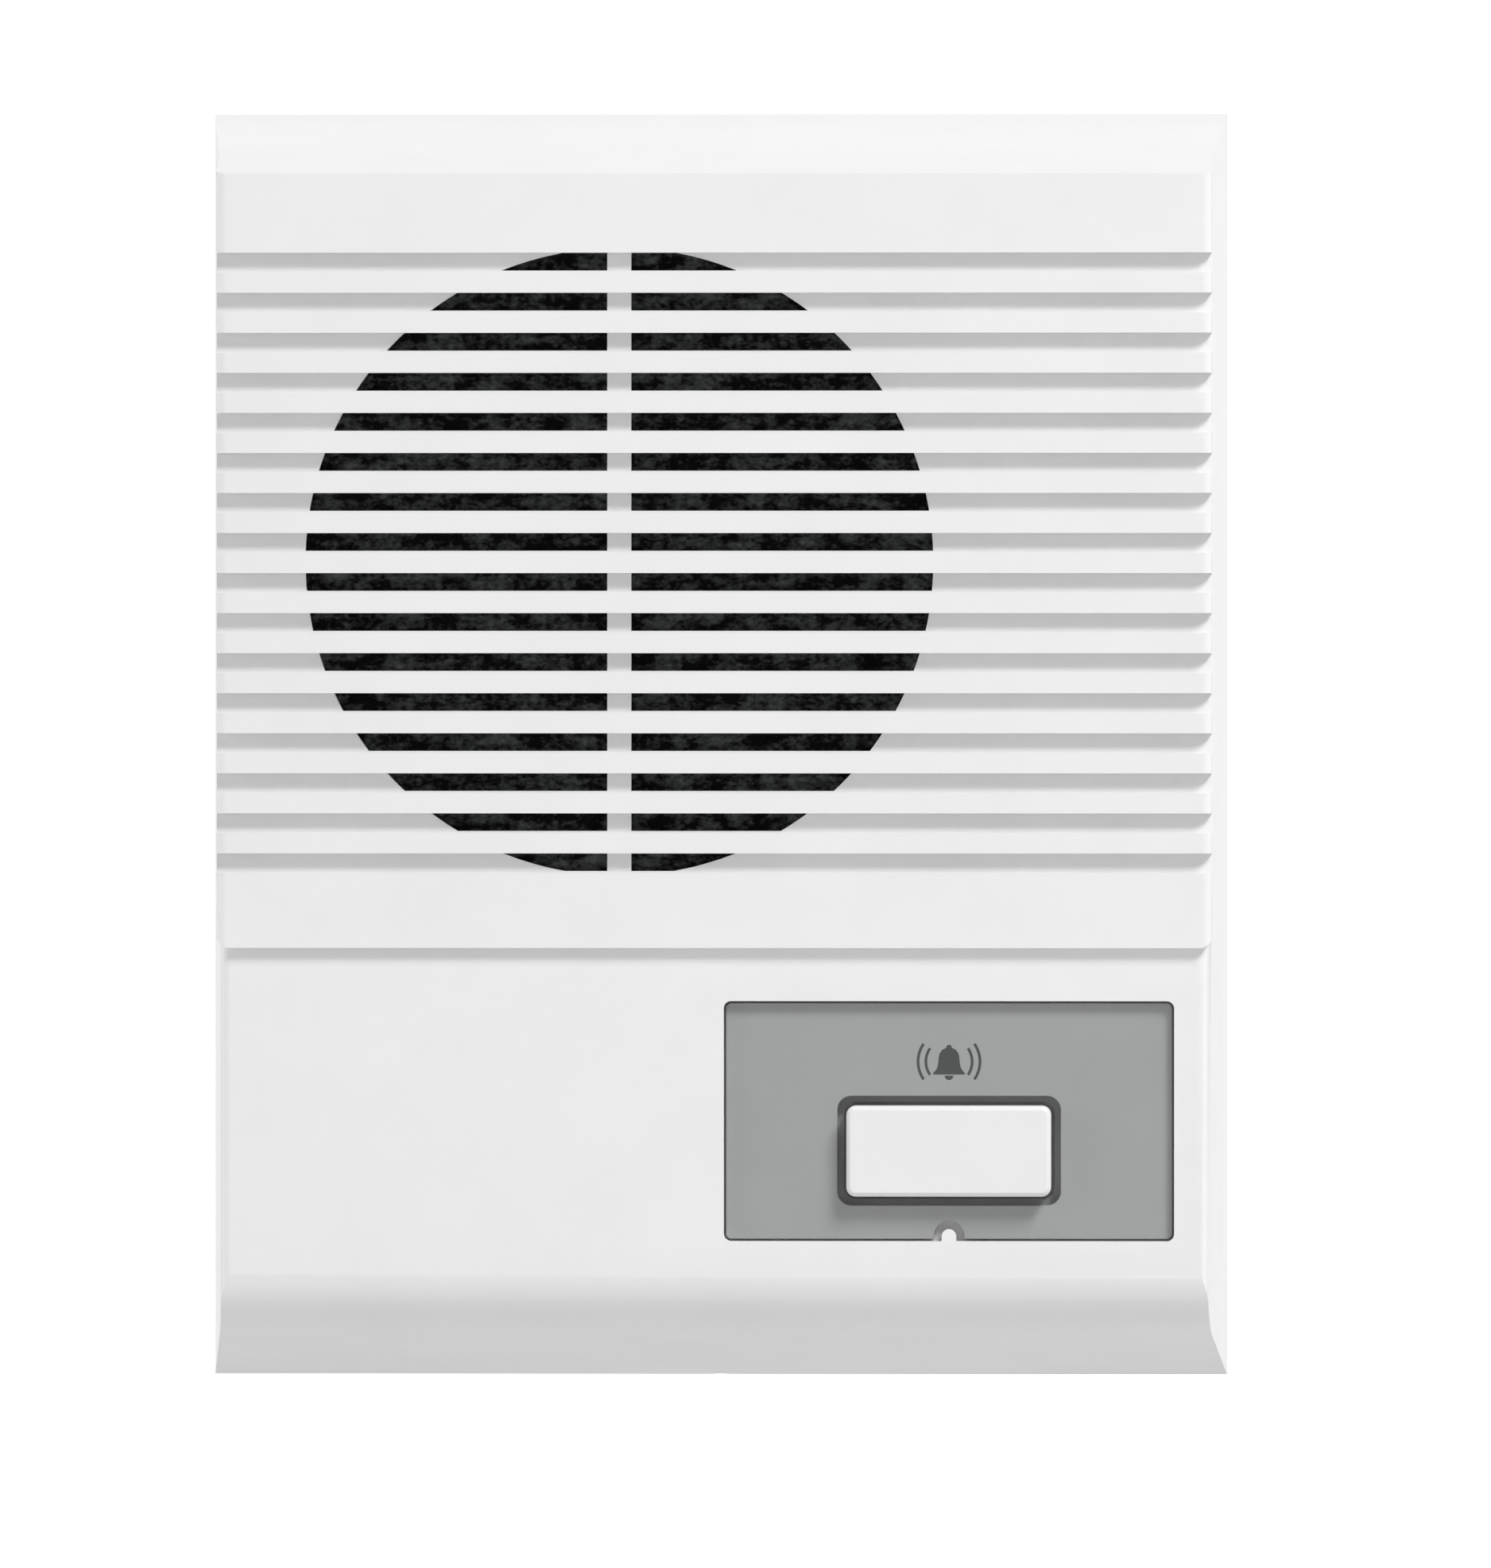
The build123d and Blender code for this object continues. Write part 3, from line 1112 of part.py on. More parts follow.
def all_pieces():
    """Every piece of the assembly by name, drawn lying on its back."""
    pieces = {"front_cover": make_front_cover(), "face_plate": make_face_plate()}
    pieces["call_button_cap"] = make_call_button()
    pieces.update(make_speaker())
    pieces.update(make_speaker_fittings())
    pieces.update(make_switch())
    pieces.update(make_board())
    pieces.update(make_terminals())
    pieces.update(make_chassis())
    pieces["wall_bracket"] = make_bracket()
    pieces["lock_screw"] = make_lock_screw()
    pieces.update(make_leads())
    return pieces


os.makedirs("parts", exist_ok=True)
stand_up = Rot(90, 0, 0)
for node, piece in all_pieces().items():
    export_step(stand_up * piece, f"parts/{node}.step")
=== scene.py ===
import json
import math

import bmesh
import bpy
from bpy.props import FloatProperty, FloatVectorProperty, IntProperty, PointerProperty
from bpy.types import Operator, Panel, PropertyGroup
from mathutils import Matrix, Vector

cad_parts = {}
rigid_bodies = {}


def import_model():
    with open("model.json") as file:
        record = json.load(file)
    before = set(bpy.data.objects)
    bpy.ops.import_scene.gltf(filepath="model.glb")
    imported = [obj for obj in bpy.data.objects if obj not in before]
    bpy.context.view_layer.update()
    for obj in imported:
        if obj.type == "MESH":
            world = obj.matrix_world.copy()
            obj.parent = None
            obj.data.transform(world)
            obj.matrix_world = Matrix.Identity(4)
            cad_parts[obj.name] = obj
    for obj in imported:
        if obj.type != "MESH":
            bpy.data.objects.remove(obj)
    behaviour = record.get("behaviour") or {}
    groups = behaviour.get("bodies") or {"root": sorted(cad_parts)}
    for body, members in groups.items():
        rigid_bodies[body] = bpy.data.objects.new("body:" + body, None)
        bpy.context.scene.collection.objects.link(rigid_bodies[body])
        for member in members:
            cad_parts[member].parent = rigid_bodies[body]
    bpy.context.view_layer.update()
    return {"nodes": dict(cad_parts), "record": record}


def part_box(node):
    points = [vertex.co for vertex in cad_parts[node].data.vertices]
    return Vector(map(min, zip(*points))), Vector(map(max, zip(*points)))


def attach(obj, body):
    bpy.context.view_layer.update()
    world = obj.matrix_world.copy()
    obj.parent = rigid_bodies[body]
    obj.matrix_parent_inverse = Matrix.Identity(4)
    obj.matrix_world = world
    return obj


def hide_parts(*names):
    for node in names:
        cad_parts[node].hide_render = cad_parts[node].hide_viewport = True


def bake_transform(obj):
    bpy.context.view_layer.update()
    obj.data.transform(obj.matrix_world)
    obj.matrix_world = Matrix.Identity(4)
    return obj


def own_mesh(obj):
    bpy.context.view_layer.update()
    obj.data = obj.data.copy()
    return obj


bl_info = {
    "name": "Intercom substation",
    "version": (1, 0, 0),
    "blender": (4, 5, 0),
    "location": "View3D > Sidebar > Intercom",
    "description": "Finishes, small parts and stage of a wall-mounted intercom substation",
    "category": "Object",
}

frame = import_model()

MM = 0.001

# The photograph's frame in pixels, and what was measured in it
PHOTO_WIDTH = 1876
PHOTO_HEIGHT = 1973
FACE_CENTRE_PIXEL = (898, 938)
PIXELS_PER_MM_AT_FACE = 13.14

# Width of the camera's sensor in millimetres
SENSOR = 36.0

# Distances in metres under which two vertices are one, in a modelled mesh and in a CAD piece's facets
SAME_POINT = 1e-7
SAME_CORNER = 1e-6


def linear(hex_colour):
    """Scene-linear RGBA of an sRGB hex colour."""
    channels = [int(hex_colour[start : start + 2], 16) / 255 for start in (1, 3, 5)]
    return (*[c / 12.92 if c <= 0.04045 else ((c + 0.055) / 1.055) ** 2.4 for c in channels], 1.0)


def colour(label, text, hex_colour):
    """A colour that the sidebar shows, with its default as an sRGB hex value."""
    return FloatVectorProperty(
        name=label, description=text, subtype="COLOR", size=4, min=0, max=1, default=linear(hex_colour)
    )


def length(label, text, millimetres):
    """A length that the sidebar shows, with its default in millimetres."""
    return FloatProperty(
        name=label, description=text, subtype="DISTANCE", unit="LENGTH", min=0, default=millimetres * MM
    )


def angle(label, text, degrees):
    """An angle that the sidebar shows, with its default in degrees."""
    return FloatProperty(name=label, description=text, subtype="ANGLE", default=math.radians(degrees))


def power(label, text, watts):
    """A light's power that the sidebar shows."""
    return FloatProperty(name=label, description=text, unit="POWER", min=0, default=watts)


class IntercomFinishes(PropertyGroup):
    """Colours of the substation's finishes."""

    cover: colour("Cover", "White of the moulded cover", "#EDEDED")
    plate: colour("Face plate", "Grey of the plate round the button", "#9EA09F")
    button: colour("Call button", "White of the button cap", "#EDEDED")
    mark: colour("Printed mark", "Ink of the bell over the button", "#4A4D4D")
    cloth: colour("Grille cloth", "Cloth behind the slots", "#1B1C1C")
    chassis: colour("Inner back cover", "Off-white of the inner back cover", "#DEDDD8")


class IntercomDetails(PropertyGroup):
    """Sizes of the small detail that is added to the frame."""

    cover_edge: length("Cover edge", "Roll of the cover's moulded edges", 0.12)
    plate_edge: length("Plate edge", "Roll of the face plate's edges", 0.08)
    button_edge: length("Button edge", "Roll of the button's edges", 0.12)
    thread_pitch: length("Thread pitch", "Pitch of the self-tapping screws", 0.9)
    thread_depth: length("Thread depth", "Depth of their thread", 0.28)
    recess_width: length("Recess width", "Width of a wing of the cross recess", 0.45)
    spring_wire: length("Spring wire", "Diameter of the switch spring's wire", 0.36)
    spring_turns: IntProperty(name="Spring turns", description="Turns of the spring", min=2, default=4)
    ring_sectors: IntProperty(name="Ring sectors", description="Parts of a bending ring", min=12, default=24)
    mark_width: length("Mark width", "Width of the printed bell with its sound lines", 6.2)
    mark_drop: length("Mark drop", "Plate's top edge down to the middle of the mark", 5.6)


class IntercomStage(PropertyGroup):
    """Camera, light and floor."""

    camera_distance: length("Camera distance", "Lens to the middle of the face", 2180.0)
    camera_turn: angle("Camera turn", "How far the camera stands round to the object's right", 1.65)
    camera_rise: angle("Camera rise", "How far the camera stands above the face", 0.3)
    floor_drop: length("Floor drop", "Middle of the object down to the floor", 300.0)
    key_power: power("Key light", "Light from the upper right", 22.8)
    right_power: power("Right light", "Light along the right side", 3.3)
    left_power: power("Left light", "Light along the left side", 8.0)
    fill_power: power("Fill light", "Soft light from the left front", 4.2)
    sky: FloatProperty(name="Room light", description="Brightness of the white room", min=0, default=0.43)


def deselect():
    """Leaves nothing selected, since operators act on all that is."""
    if bpy.context.object and bpy.context.object.mode != "OBJECT":
        bpy.ops.object.mode_set(mode="OBJECT")
    bpy.ops.object.select_all(action="DESELECT")


def take(piece):
    """Makes a piece the one that is selected and active."""
    deselect()
    piece.select_set(True)
    bpy.context.view_layer.objects.active = piece


def pick(kind, test):
    """Selects the vertices, edges or faces in edit mode that pass a test, and nothing else."""
    bpy.ops.mesh.select_mode(type={"verts": "VERT", "edges": "EDGE", "faces": "FACE"}[kind])
    bpy.ops.mesh.select_all(action="DESELECT")
    mesh = bpy.context.object.data
    edit = bmesh.from_edit_mesh(mesh)
    for element in getattr(edit, kind):
        if test(element):
            element.select_set(True)
    bmesh.update_edit_mesh(mesh)


def edit_mode():
    """Opens the active piece's mesh."""
    bpy.ops.object.mode_set(mode="EDIT")


def edit_all():
    """Opens the active piece's mesh with all of it selected."""
    edit_mode()
    bpy.ops.mesh.select_all(action="SELECT")


def object_mode():
    """Closes the mesh again."""
    bpy.ops.object.mode_set(mode="OBJECT")


def primitive(kind, name, **settings):
    """Adds a primitive with nothing else selected, and moves its place into its mesh."""
    deselect()
    getattr(bpy.ops.mesh, f"primitive_{kind}_add")(**settings)
    piece = bpy.context.object
    piece.name = name
    piece.data.name = name
    bpy.ops.object.transform_apply(location=True, rotation=True, scale=True)
    return piece


def extrude(step):
    """Extrudes what is selected by a step."""
    bpy.ops.mesh.extrude_region_move(TRANSFORM_OT_translate={"value": step})


def widen(factor, centre):
    """Scales what is selected across the Z axis, about a point."""
    bpy.ops.transform.resize(value=(factor, factor, 1), center_override=centre)


def apply_place(piece):
    """Moves a piece's place and turn into its mesh."""
    take(piece)
    bpy.ops.object.transform_apply(location=True, rotation=True, scale=True)


def joined(pieces, name):
    """One object of several, under a new name."""
    take(pieces[0])
    for piece in pieces[1:]:
        piece.select_set(True)
    bpy.ops.object.join()
    piece = bpy.context.object
    piece.name = name
    piece.data.name = name
    return piece


def outward(piece):
    """Turns a closed mesh's faces outwards."""
    take(piece)
    edit_all()
    bpy.ops.mesh.remove_doubles(threshold=SAME_POINT)
    bpy.ops.mesh.normals_make_consistent(inside=False)
    object_mode()


def use_modifier(piece, kind, **settings):
    """Adds a modifier and applies it."""
    take(piece)
    modifier = piece.modifiers.new(kind.title(), kind)
    for name, value in settings.items():
        setattr(modifier, name, value)
    bpy.ops.object.modifier_apply(modifier=modifier.name)


def outline(name, points):
    """A string of vertices in the XZ plane, each extruded from the last."""
    piece = primitive("plane", name, size=MM, location=(points[0][0], 0, points[0][1]))
    edit_mode()
    bpy.ops.mesh.select_mode(type="VERT")
    bpy.ops.mesh.select_all(action="SELECT")
    bpy.ops.mesh.merge(type="CENTER")
    for before, after in zip(points, points[1:]):
        step = (after[0] - before[0], 0, after[1] - before[1])
        bpy.ops.mesh.extrude_vertices_move(TRANSFORM_OT_translate={"value": step})
    object_mode()
    return piece


def swept_round(piece, share=1.0, steps=64):
    """Turns an outline about the Z axis, all the way or for a share of it."""
    use_modifier(
        piece,
        "SCREW",
        axis="Z",
        angle=2 * math.pi * share,
        steps=steps,
        render_steps=steps,
        use_merge_vertices=True,
        merge_threshold=SAME_POINT,
        use_smooth_shade=False,
    )
    outward(piece)
    return piece


def close_ends(piece):
    """Merges the seams of a swept mesh and fills the ends that stay open."""
    outward(piece)
    edit_all()
    bpy.ops.mesh.fill_holes(sides=0)
    object_mode()
    outward(piece)


def wound(name, radius, wire, pitch, turns, start, sides=8, steps=32):
    """Wire wound about the Z axis, with open ends; a wire of three sides is a thread."""
    piece = primitive(
        "circle",
        name,
        vertices=sides,
        radius=wire,
        location=(radius, 0, start),
        rotation=(math.pi / 2, math.pi / 2, 0),
    )
    use_modifier(
        piece,
        "SCREW",
        axis="Z",
        angle=2 * math.pi,
        screw_offset=pitch,
        iterations=turns,
        steps=steps,
        render_steps=steps,
        use_smooth_shade=False,
    )
    return piece


def tube(name, points, radius, sides=4):
    """A round tube along a smooth path between points right, up and out of the wall."""
    deselect()
    curve = bpy.data.curves.new(name, "CURVE")
    curve.dimensions = "3D"
    curve.bevel_depth = radius
    curve.bevel_resolution = sides
    curve.use_fill_caps = True
    path = curve.splines.new("NURBS")
    path.points.add(len(points) - 1)
    for point, (right, up, out) in zip(path.points, points):
        point.co = (right, -out, up, 1)
    path.order_u = 3
    path.use_endpoint_u = True
    path.resolution_u = 12
    piece = bpy.data.objects.new(name, curve)
    bpy.context.scene.collection.objects.link(piece)
    take(piece)
    bpy.ops.object.convert(target="MESH")
    outward(piece)
    smooth(piece, 60)
    return piece


def copied(source, name):
    """A copy of a piece with a mesh of its own."""
    take(source)
    bpy.ops.object.duplicate()
    piece = bpy.context.object
    piece.name = name
    piece.data.name = name
    return piece


def stood(piece, right, up, out, twist=0.0):
    """Stands a piece that was made about Z so that it points at the room, at its place on the wall."""
    piece.location = (right, -out, up)
    piece.rotation_euler = (math.pi / 2, -twist, 0)
    apply_place(piece)
    return piece


def wall_box(node):
    """A CAD piece's lowest and highest corners: right, up the wall and out of it."""
    low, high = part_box(node)
    return Vector((low.x, low.z, -high.y)), Vector((high.x, high.z, -low.y))


def smooth(piece, degrees=35):
    """Shades rounded faces smooth and leaves the sharp edges."""
    take(piece)
    bpy.ops.object.shade_smooth_by_angle(angle=math.radians(degrees))


def arc(x, z, radius, start, end, steps=10):
    """Points of an arc in the XZ plane, between two angles in degrees."""
    angles = [math.radians(start + (end - start) * step / steps) for step in range(steps + 1)]
    return [(x + radius * math.cos(angle), z + radius * math.sin(angle)) for angle in angles]


def sheet_outline(line, thick):
    """The closed outline of a sheet: its front line, and back along the same line one thickness lower."""
    return line + [(across, height - thick) for across, height in reversed(line)] + [line[0]]


def body_of(node):
    """The body that a CAD piece belongs to."""
    return next(name for name, nodes in frame["record"]["behaviour"]["bodies"].items() if node in nodes)


def finish_with(piece, material, node, rides=True):
    """Gives a modelled piece its material, and the place of a CAD piece: its body."""
    piece.data.materials.clear()
    piece.data.materials.append(material)
    if rides:
        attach(piece, body_of(node))
    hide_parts(node)


def softened(node, edge, segments=2, sharper_than=28, flatter_than=0.4):
    """A merged copy of a CAD piece with its sharp edges rolled over, as a mould leaves them."""
    deselect()
    source = frame["nodes"][node]
    piece = bpy.data.objects.new(f"{node}_moulded", source.data.copy())
    bpy.context.scene.collection.objects.link(piece)
    take(piece)
    edit_all()
    bpy.ops.mesh.remove_doubles(threshold=SAME_CORNER)
    bpy.ops.mesh.dissolve_limited(angle_limit=math.radians(flatter_than), delimit={"NORMAL"})
    object_mode()
    bpy.ops.mesh.customdata_custom_splitnormals_clear()
    smooth(piece, sharper_than)
    use_modifier(
        piece,
        "BEVEL",
        width=edge,
        segments=segments,
        limit_method="ANGLE",
        angle_limit=math.radians(sharper_than),
        harden_normals=True,
    )
    edit_all()
    bpy.ops.mesh.dissolve_degenerate(threshold=SAME_CORNER)
    object_mode()
    return piece


def add(tree, kind, inputs=(), into=None, stops=None, **settings):
    """Adds a node: its inputs set or linked, the socket that it feeds, a ramp's stops and its settings."""
    node = tree.nodes.new(f"ShaderNode{kind}")
    for name, value in settings.items():
        setattr(node, name, value)
    for name, value in dict(inputs).items():
        if isinstance(value, bpy.types.Node):
            value = value.outputs[0]
        if isinstance(value, bpy.types.NodeSocket):
            tree.links.new(value, node.inputs[name])
        else:
            node.inputs[name].default_value = value
    if stops:
        for stop, (position, tone) in zip(node.color_ramp.elements, stops.items()):
            stop.position = position
            stop.color = tone
    if into is not None:
        tree.links.new(node.outputs[0], into)
    return node


def blank(name, **sockets):
    """A new material: its node tree, its shader's inputs with set values, and the object's coordinates."""
    material = bpy.data.materials.new(name)
    material.use_nodes = True
    tree = material.node_tree
    shader = tree.nodes["Principled BSDF"].inputs
    for socket, value in sockets.items():
        shader[socket.replace("_", " ")].default_value = value
    place = add(tree, "TexCoord").outputs["Object"]
    return material, tree, shader, place


# Scale at which a wave texture has one band in each unit of length
WAVE_SCALE = 2 * math.pi / 20


def per_metre(millimetres):
    """The texture scale at which one cell is this many millimetres."""
    return 1 / (millimetres * MM)


def times(tone, share):
    """A colour darkened or lightened by a share."""
    return (*[min(1.0, channel * share) for channel in tone[:3]], 1.0)


def moulded(name, tone, roughness, grain, relief, mottle=0.985, subsurface=0.0):
    """A moulded plastic: a fine eroded grain in relief and gloss, and a faint flow mottle in its colour."""
    material, tree, shader, place = blank(
        name, IOR=1.5, Subsurface_Weight=subsurface, Subsurface_Scale=0.4 * MM
    )
    flow = add(tree, "TexNoise", {"Vector": place, "Scale": per_metre(9), "Detail": 3.0})
    stops = {0.35: times(tone, mottle), 0.65: times(tone, 1.004)}
    add(tree, "ValToRGB", {"Fac": flow}, shader["Base Color"], stops)
    skin = add(tree, "TexNoise", {"Vector": place, "Scale": per_metre(grain), "Detail": 2.0})
    gloss = {"Value": skin, "To Min": roughness - 0.05, "To Max": roughness + 0.05}
    add(tree, "MapRange", gloss, shader["Roughness"])
    bump = {"Height": skin, "Strength": 0.25, "Distance": relief * MM}
    add(tree, "Bump", bump, shader["Normal"])
    return material


def cover_plastic():
    # White ABS from a finely eroded mould: satin, with a grain that is only just seen
    return moulded("white_abs_satin", bpy.context.scene.intercom_finishes.cover, 0.42, 0.35, 0.02)


def plate_plastic():
    # Grey ABS with a matt eroded face, so that it shows almost no highlight
    return moulded("grey_abs_matt", bpy.context.scene.intercom_finishes.plate, 0.55, 0.3, 0.025, 0.975)


def button_plastic():
    # White ABS from a polished mould: the button is smoother than the cover round it
    return moulded("white_abs_polished", bpy.context.scene.intercom_finishes.button, 0.3, 0.5, 0.002)


def chassis_plastic():
    # Off-white flame-retardant ABS, coarser and duller than the cover because nobody sees it
    return moulded("off_white_abs", bpy.context.scene.intercom_finishes.chassis, 0.5, 0.4, 0.03, 0.97)


def terminal_plastic():
    # Glass-filled PBT of wiring terminals: dark grey, with a dull skin
    return moulded("dark_pbt", linear("#2C2D2F"), 0.46, 0.3, 0.03, 0.9)


def switch_plastic():
    # Black nylon of a small switch, slightly shiny
    return moulded("black_nylon", linear("#1D1D1F"), 0.36, 0.25, 0.01, 0.9)


def plunger_plastic():
    # Natural acetal: milky white, with a waxy shine
    return moulded("natural_acetal", linear("#E9E6DC"), 0.3, 0.4, 0.005, 0.98, 0.1)


def printed_ink():
    # Pad-printed ink: thin, matt and slightly uneven
    return moulded("dark_grey_ink", bpy.context.scene.intercom_finishes.mark, 0.6, 0.12, 0.006, 0.9)


def grille_cloth():
    # Woven polyester speaker cloth: black, and paler where fibres have fluffed up. Its threads are drawn
    # 1 mm apart and its fluff in streaks about 1.5 mm long, both coarser than real ones so that they show
    tone = bpy.context.scene.intercom_finishes.cloth
    material, tree, shader, place = blank(
        "speaker_cloth_weave",
        Roughness=0.95,
        Sheen_Weight=0.05,
        Sheen_Roughness=0.5,
        Specular_IOR_Level=0.12,
    )
    threads = {"Vector": place, "Scale": per_metre(0.99) * WAVE_SCALE, "Distortion": 2.5}
    warp = add(tree, "TexWave", threads, bands_direction="X")
    weft = add(tree, "TexWave", threads, bands_direction="Z")
    weave = add(tree, "Math", {0: warp.outputs["Fac"], 1: weft.outputs["Fac"]}, operation="MULTIPLY")
    along = add(tree, "Mapping", {"Vector": place, "Scale": (0.6, 1.0, 1.0)})
    streak = {"Vector": along, "Scale": per_metre(1.5), "Detail": 4.0, "Roughness": 0.8}
    streaks = add(tree, "TexNoise", streak)
    pale = add(tree, "Math", {0: weave, 1: 0.05, 2: streaks}, operation="MULTIPLY_ADD")
    stops = {0.46: times(tone, 0.2), 0.78: times(tone, 11)}
    add(tree, "ValToRGB", {"Fac": pale}, shader["Base Color"], stops)
    add(tree, "Bump", {"Height": weave, "Strength": 0.8, "Distance": 0.15 * MM}, shader["Normal"])
    return material


def plated(name, tone, roughness, streak=(1.0, 1.0, 1.0), grain=0.6):
    """A plated or bare metal: a fine grain in its gloss, which a streak draws out as rolling does."""
    material, tree, shader, place = blank(name, Metallic=1.0)
    drawn = add(tree, "Mapping", {"Vector": place, "Scale": streak})
    grit = add(tree, "TexNoise", {"Vector": drawn, "Scale": per_metre(grain), "Detail": 4.0})
    cloud = add(tree, "TexNoise", {"Vector": place, "Scale": per_metre(6), "Detail": 2.0})
    add(tree, "ValToRGB", {"Fac": cloud}, shader["Base Color"], {0.35: times(tone, 0.86), 0.65: tone})
    gloss = {"Value": grit, "To Min": roughness - 0.08, "To Max": roughness + 0.1}
    add(tree, "MapRange", gloss, shader["Roughness"])
    add(tree, "Bump", {"Height": grit, "Strength": 0.15, "Distance": 0.01 * MM}, shader["Normal"])
    return material


def zinc_sheet():
    # Electro-galvanised steel sheet: pale blue-grey, with faint rolling lines across the bracket
    return plated("zinc_plated_sheet", linear("#C3C8CB"), 0.38, (0.08, 1.0, 1.0))


def zinc_screw():
    # Zinc-plated and clear-passivated screws: brighter than the sheet
    return plated("zinc_plated_screw", linear("#D2D5D6"), 0.26, grain=0.25)


def nickel_steel():
    # Nickel-plated magnet steel: warm grey and fairly bright
    return plated("nickel_plated_steel", linear("#BDB9B1"), 0.3, grain=0.4)


def spring_wire():
    # Drawn music wire: bright, with a very fine grain
    return plated("music_wire", linear("#B9BABC"), 0.24, grain=0.2)


def tinned_brass():
    # Tin over brass: white, soft-looking metal with a low shine
    return plated("tin_plated_brass", linear("#D0CFC9"), 0.34, grain=0.3)


def bare_aluminium():
    # Drawn aluminium of a capacitor's can, pale and fairly dull
    return plated("drawn_aluminium", linear("#C9CBCD"), 0.36, grain=0.3)


def soft_solder():
    # Tin-lead solder: bright, with a slightly grainy skin
    return plated("soft_solder", linear("#BFC1C3"), 0.3, grain=0.15)


def contact_brass():
    # Bare brass contacts: yellow and bright
    return plated("contact_brass", linear("#D9C27A"), 0.26, grain=0.3)


def coil_copper():
    # Enamelled copper wire: reddish metal under a clear glossy coat, a little uneven from the varnish
    material, tree, shader, place = blank(
        "enamelled_copper", Metallic=1.0, Coat_Weight=0.4, Coat_Roughness=0.2, Roughness=0.3
    )
    varnish = add(tree, "TexNoise", {"Vector": place, "Scale": per_metre(0.8), "Detail": 3.0})
    stops = {0.35: linear("#96492A"), 0.65: linear("#CC7A45")}
    add(tree, "ValToRGB", {"Fac": varnish}, shader["Base Color"], stops)
    add(tree, "Bump", {"Height": varnish, "Strength": 0.3, "Distance": 0.01 * MM}, shader["Normal"])
    return material


def ferrite():
    # Sintered ferrite: charcoal grey, ground flat, with open pores
    material, tree, shader, place = blank("sintered_ferrite", Roughness=0.7)
    pores = add(tree, "TexNoise", {"Vector": place, "Scale": per_metre(0.4), "Detail": 6.0})
    stops = {0.35: linear("#1E1F20"), 0.65: linear("#3C3D3F")}
    add(tree, "ValToRGB", {"Fac": pores}, shader["Base Color"], stops)
    add(tree, "Bump", {"Height": pores, "Strength": 0.5, "Distance": 0.05 * MM}, shader["Normal"])
    return material


def fibrous(name, tone, fibre, relief, roughness=0.85):
    """Paper, felt or treated cloth: short fibres that cross in all directions."""
    material, tree, shader, place = blank(name, Roughness=roughness)
    pulp = {"Vector": place, "Scale": per_metre(fibre), "Detail": 8.0, "Roughness": 0.7}
    strands = add(tree, "TexNoise", pulp)
    stops = {0.35: times(tone, 0.6), 0.65: times(tone, 1.3)}
    add(tree, "ValToRGB", {"Fac": strands}, shader["Base Color"], stops)
    add(tree, "Bump", {"Height": strands, "Strength": 0.6, "Distance": relief * MM}, shader["Normal"])
    return material


def cone_paper():
    # Pressed paper pulp, dyed grey-black
    return fibrous("pressed_paper", linear("#3A3836"), 0.9, 0.08)


def surround_cloth():
    # Doped cotton of the cone's rim: darker than the cone, with the slight shine of its dope
    return fibrous("doped_cotton", linear("#262524"), 0.4, 0.06, 0.6)


def spider_cloth():
    # Phenolic-dipped cotton of the spider: amber, with its fibres showing through the resin
    return fibrous("phenolic_cotton", linear("#8A5A22"), 0.4, 0.06, 0.7)


def strip_board():
    # Paper-phenolic of the lug strip and the coil's former: brown, smooth and semi-matt
    return fibrous("phenolic_strip", linear("#6B4526"), 0.5, 0.02, 0.5)


def board_laminate():
    # Paper-phenolic circuit board: tan, semi-matt, with a faint fibre in it
    return fibrous("phenolic_board", linear("#A27B45"), 0.8, 0.02, 0.45)


def gasket_foam():
    # Open-cell polyurethane foam: charcoal, with cells about 0.6 mm across
    material, tree, shader, place = blank("open_cell_foam", Roughness=0.95)
    cells = add(tree, "TexVoronoi", {"Vector": place, "Scale": per_metre(0.6)})
    stops = {0.1: linear("#151515"), 0.5: linear("#3B3B3C")}
    add(tree, "ValToRGB", {"Fac": cells}, shader["Base Color"], stops)
    add(tree, "Bump", {"Height": cells, "Strength": 0.9, "Distance": 0.2 * MM}, shader["Normal"])
    return material


def capacitor_sleeve():
    # Shrunk PVC sleeve of an electrolytic capacitor: dark blue and shiny
    return moulded("shrunk_pvc_sleeve", linear("#1F2B4A"), 0.25, 0.8, 0.01, 0.92)


def resistor_coat():
    # Conformal coat of a carbon-film resistor: sandy lacquer
    return moulded("sand_lacquer", linear("#C9A878"), 0.35, 0.6, 0.02, 0.92)


def lead_red():
    # PVC insulation, red
    return moulded("red_pvc", linear("#A8201C"), 0.38, 0.5, 0.01, 0.94)


def lead_black():
    # PVC insulation, black
    return moulded("black_pvc", linear("#191919"), 0.38, 0.5, 0.01, 0.9)


def floor_paint():
    # Pale matt studio floor
    return moulded("pale_floor", linear("#DDDDDD"), 0.8, 6.0, 0.2, 0.985)


def lit_paper():
    """White background paper, lit so brightly that it shows as pure white."""
    material, tree, shader, place = blank("lit_background_paper", Roughness=0.9)
    grain = add(tree, "TexNoise", {"Vector": place, "Scale": per_metre(50)})
    stops = {0.35: linear("#F4F4F4"), 0.65: linear("#FFFFFF")}
    add(tree, "ValToRGB", {"Fac": grain}, shader["Base Color"], stops)
    shader["Emission Color"].default_value = linear("#FFFFFF")
    shader["Emission Strength"].default_value = 1.0
    return material


# Thickness of the printed ink
INK = 0.012 * MM

# Right half of the bell, from its crown down to the middle of its mouth, in millimetres
BELL_HALF = (
    (0.0, 1.6),
    (0.2, 1.56),
    (0.28, 1.32),
    (0.66, 1.12),
    (0.9, 0.78),
    (1.0, 0.35),
    (1.04, -0.2),
    (1.14, -0.62),
    (1.34, -0.92),
    (1.5, -1.06),
    (1.5, -1.24),
    (0.0, -1.24),
)

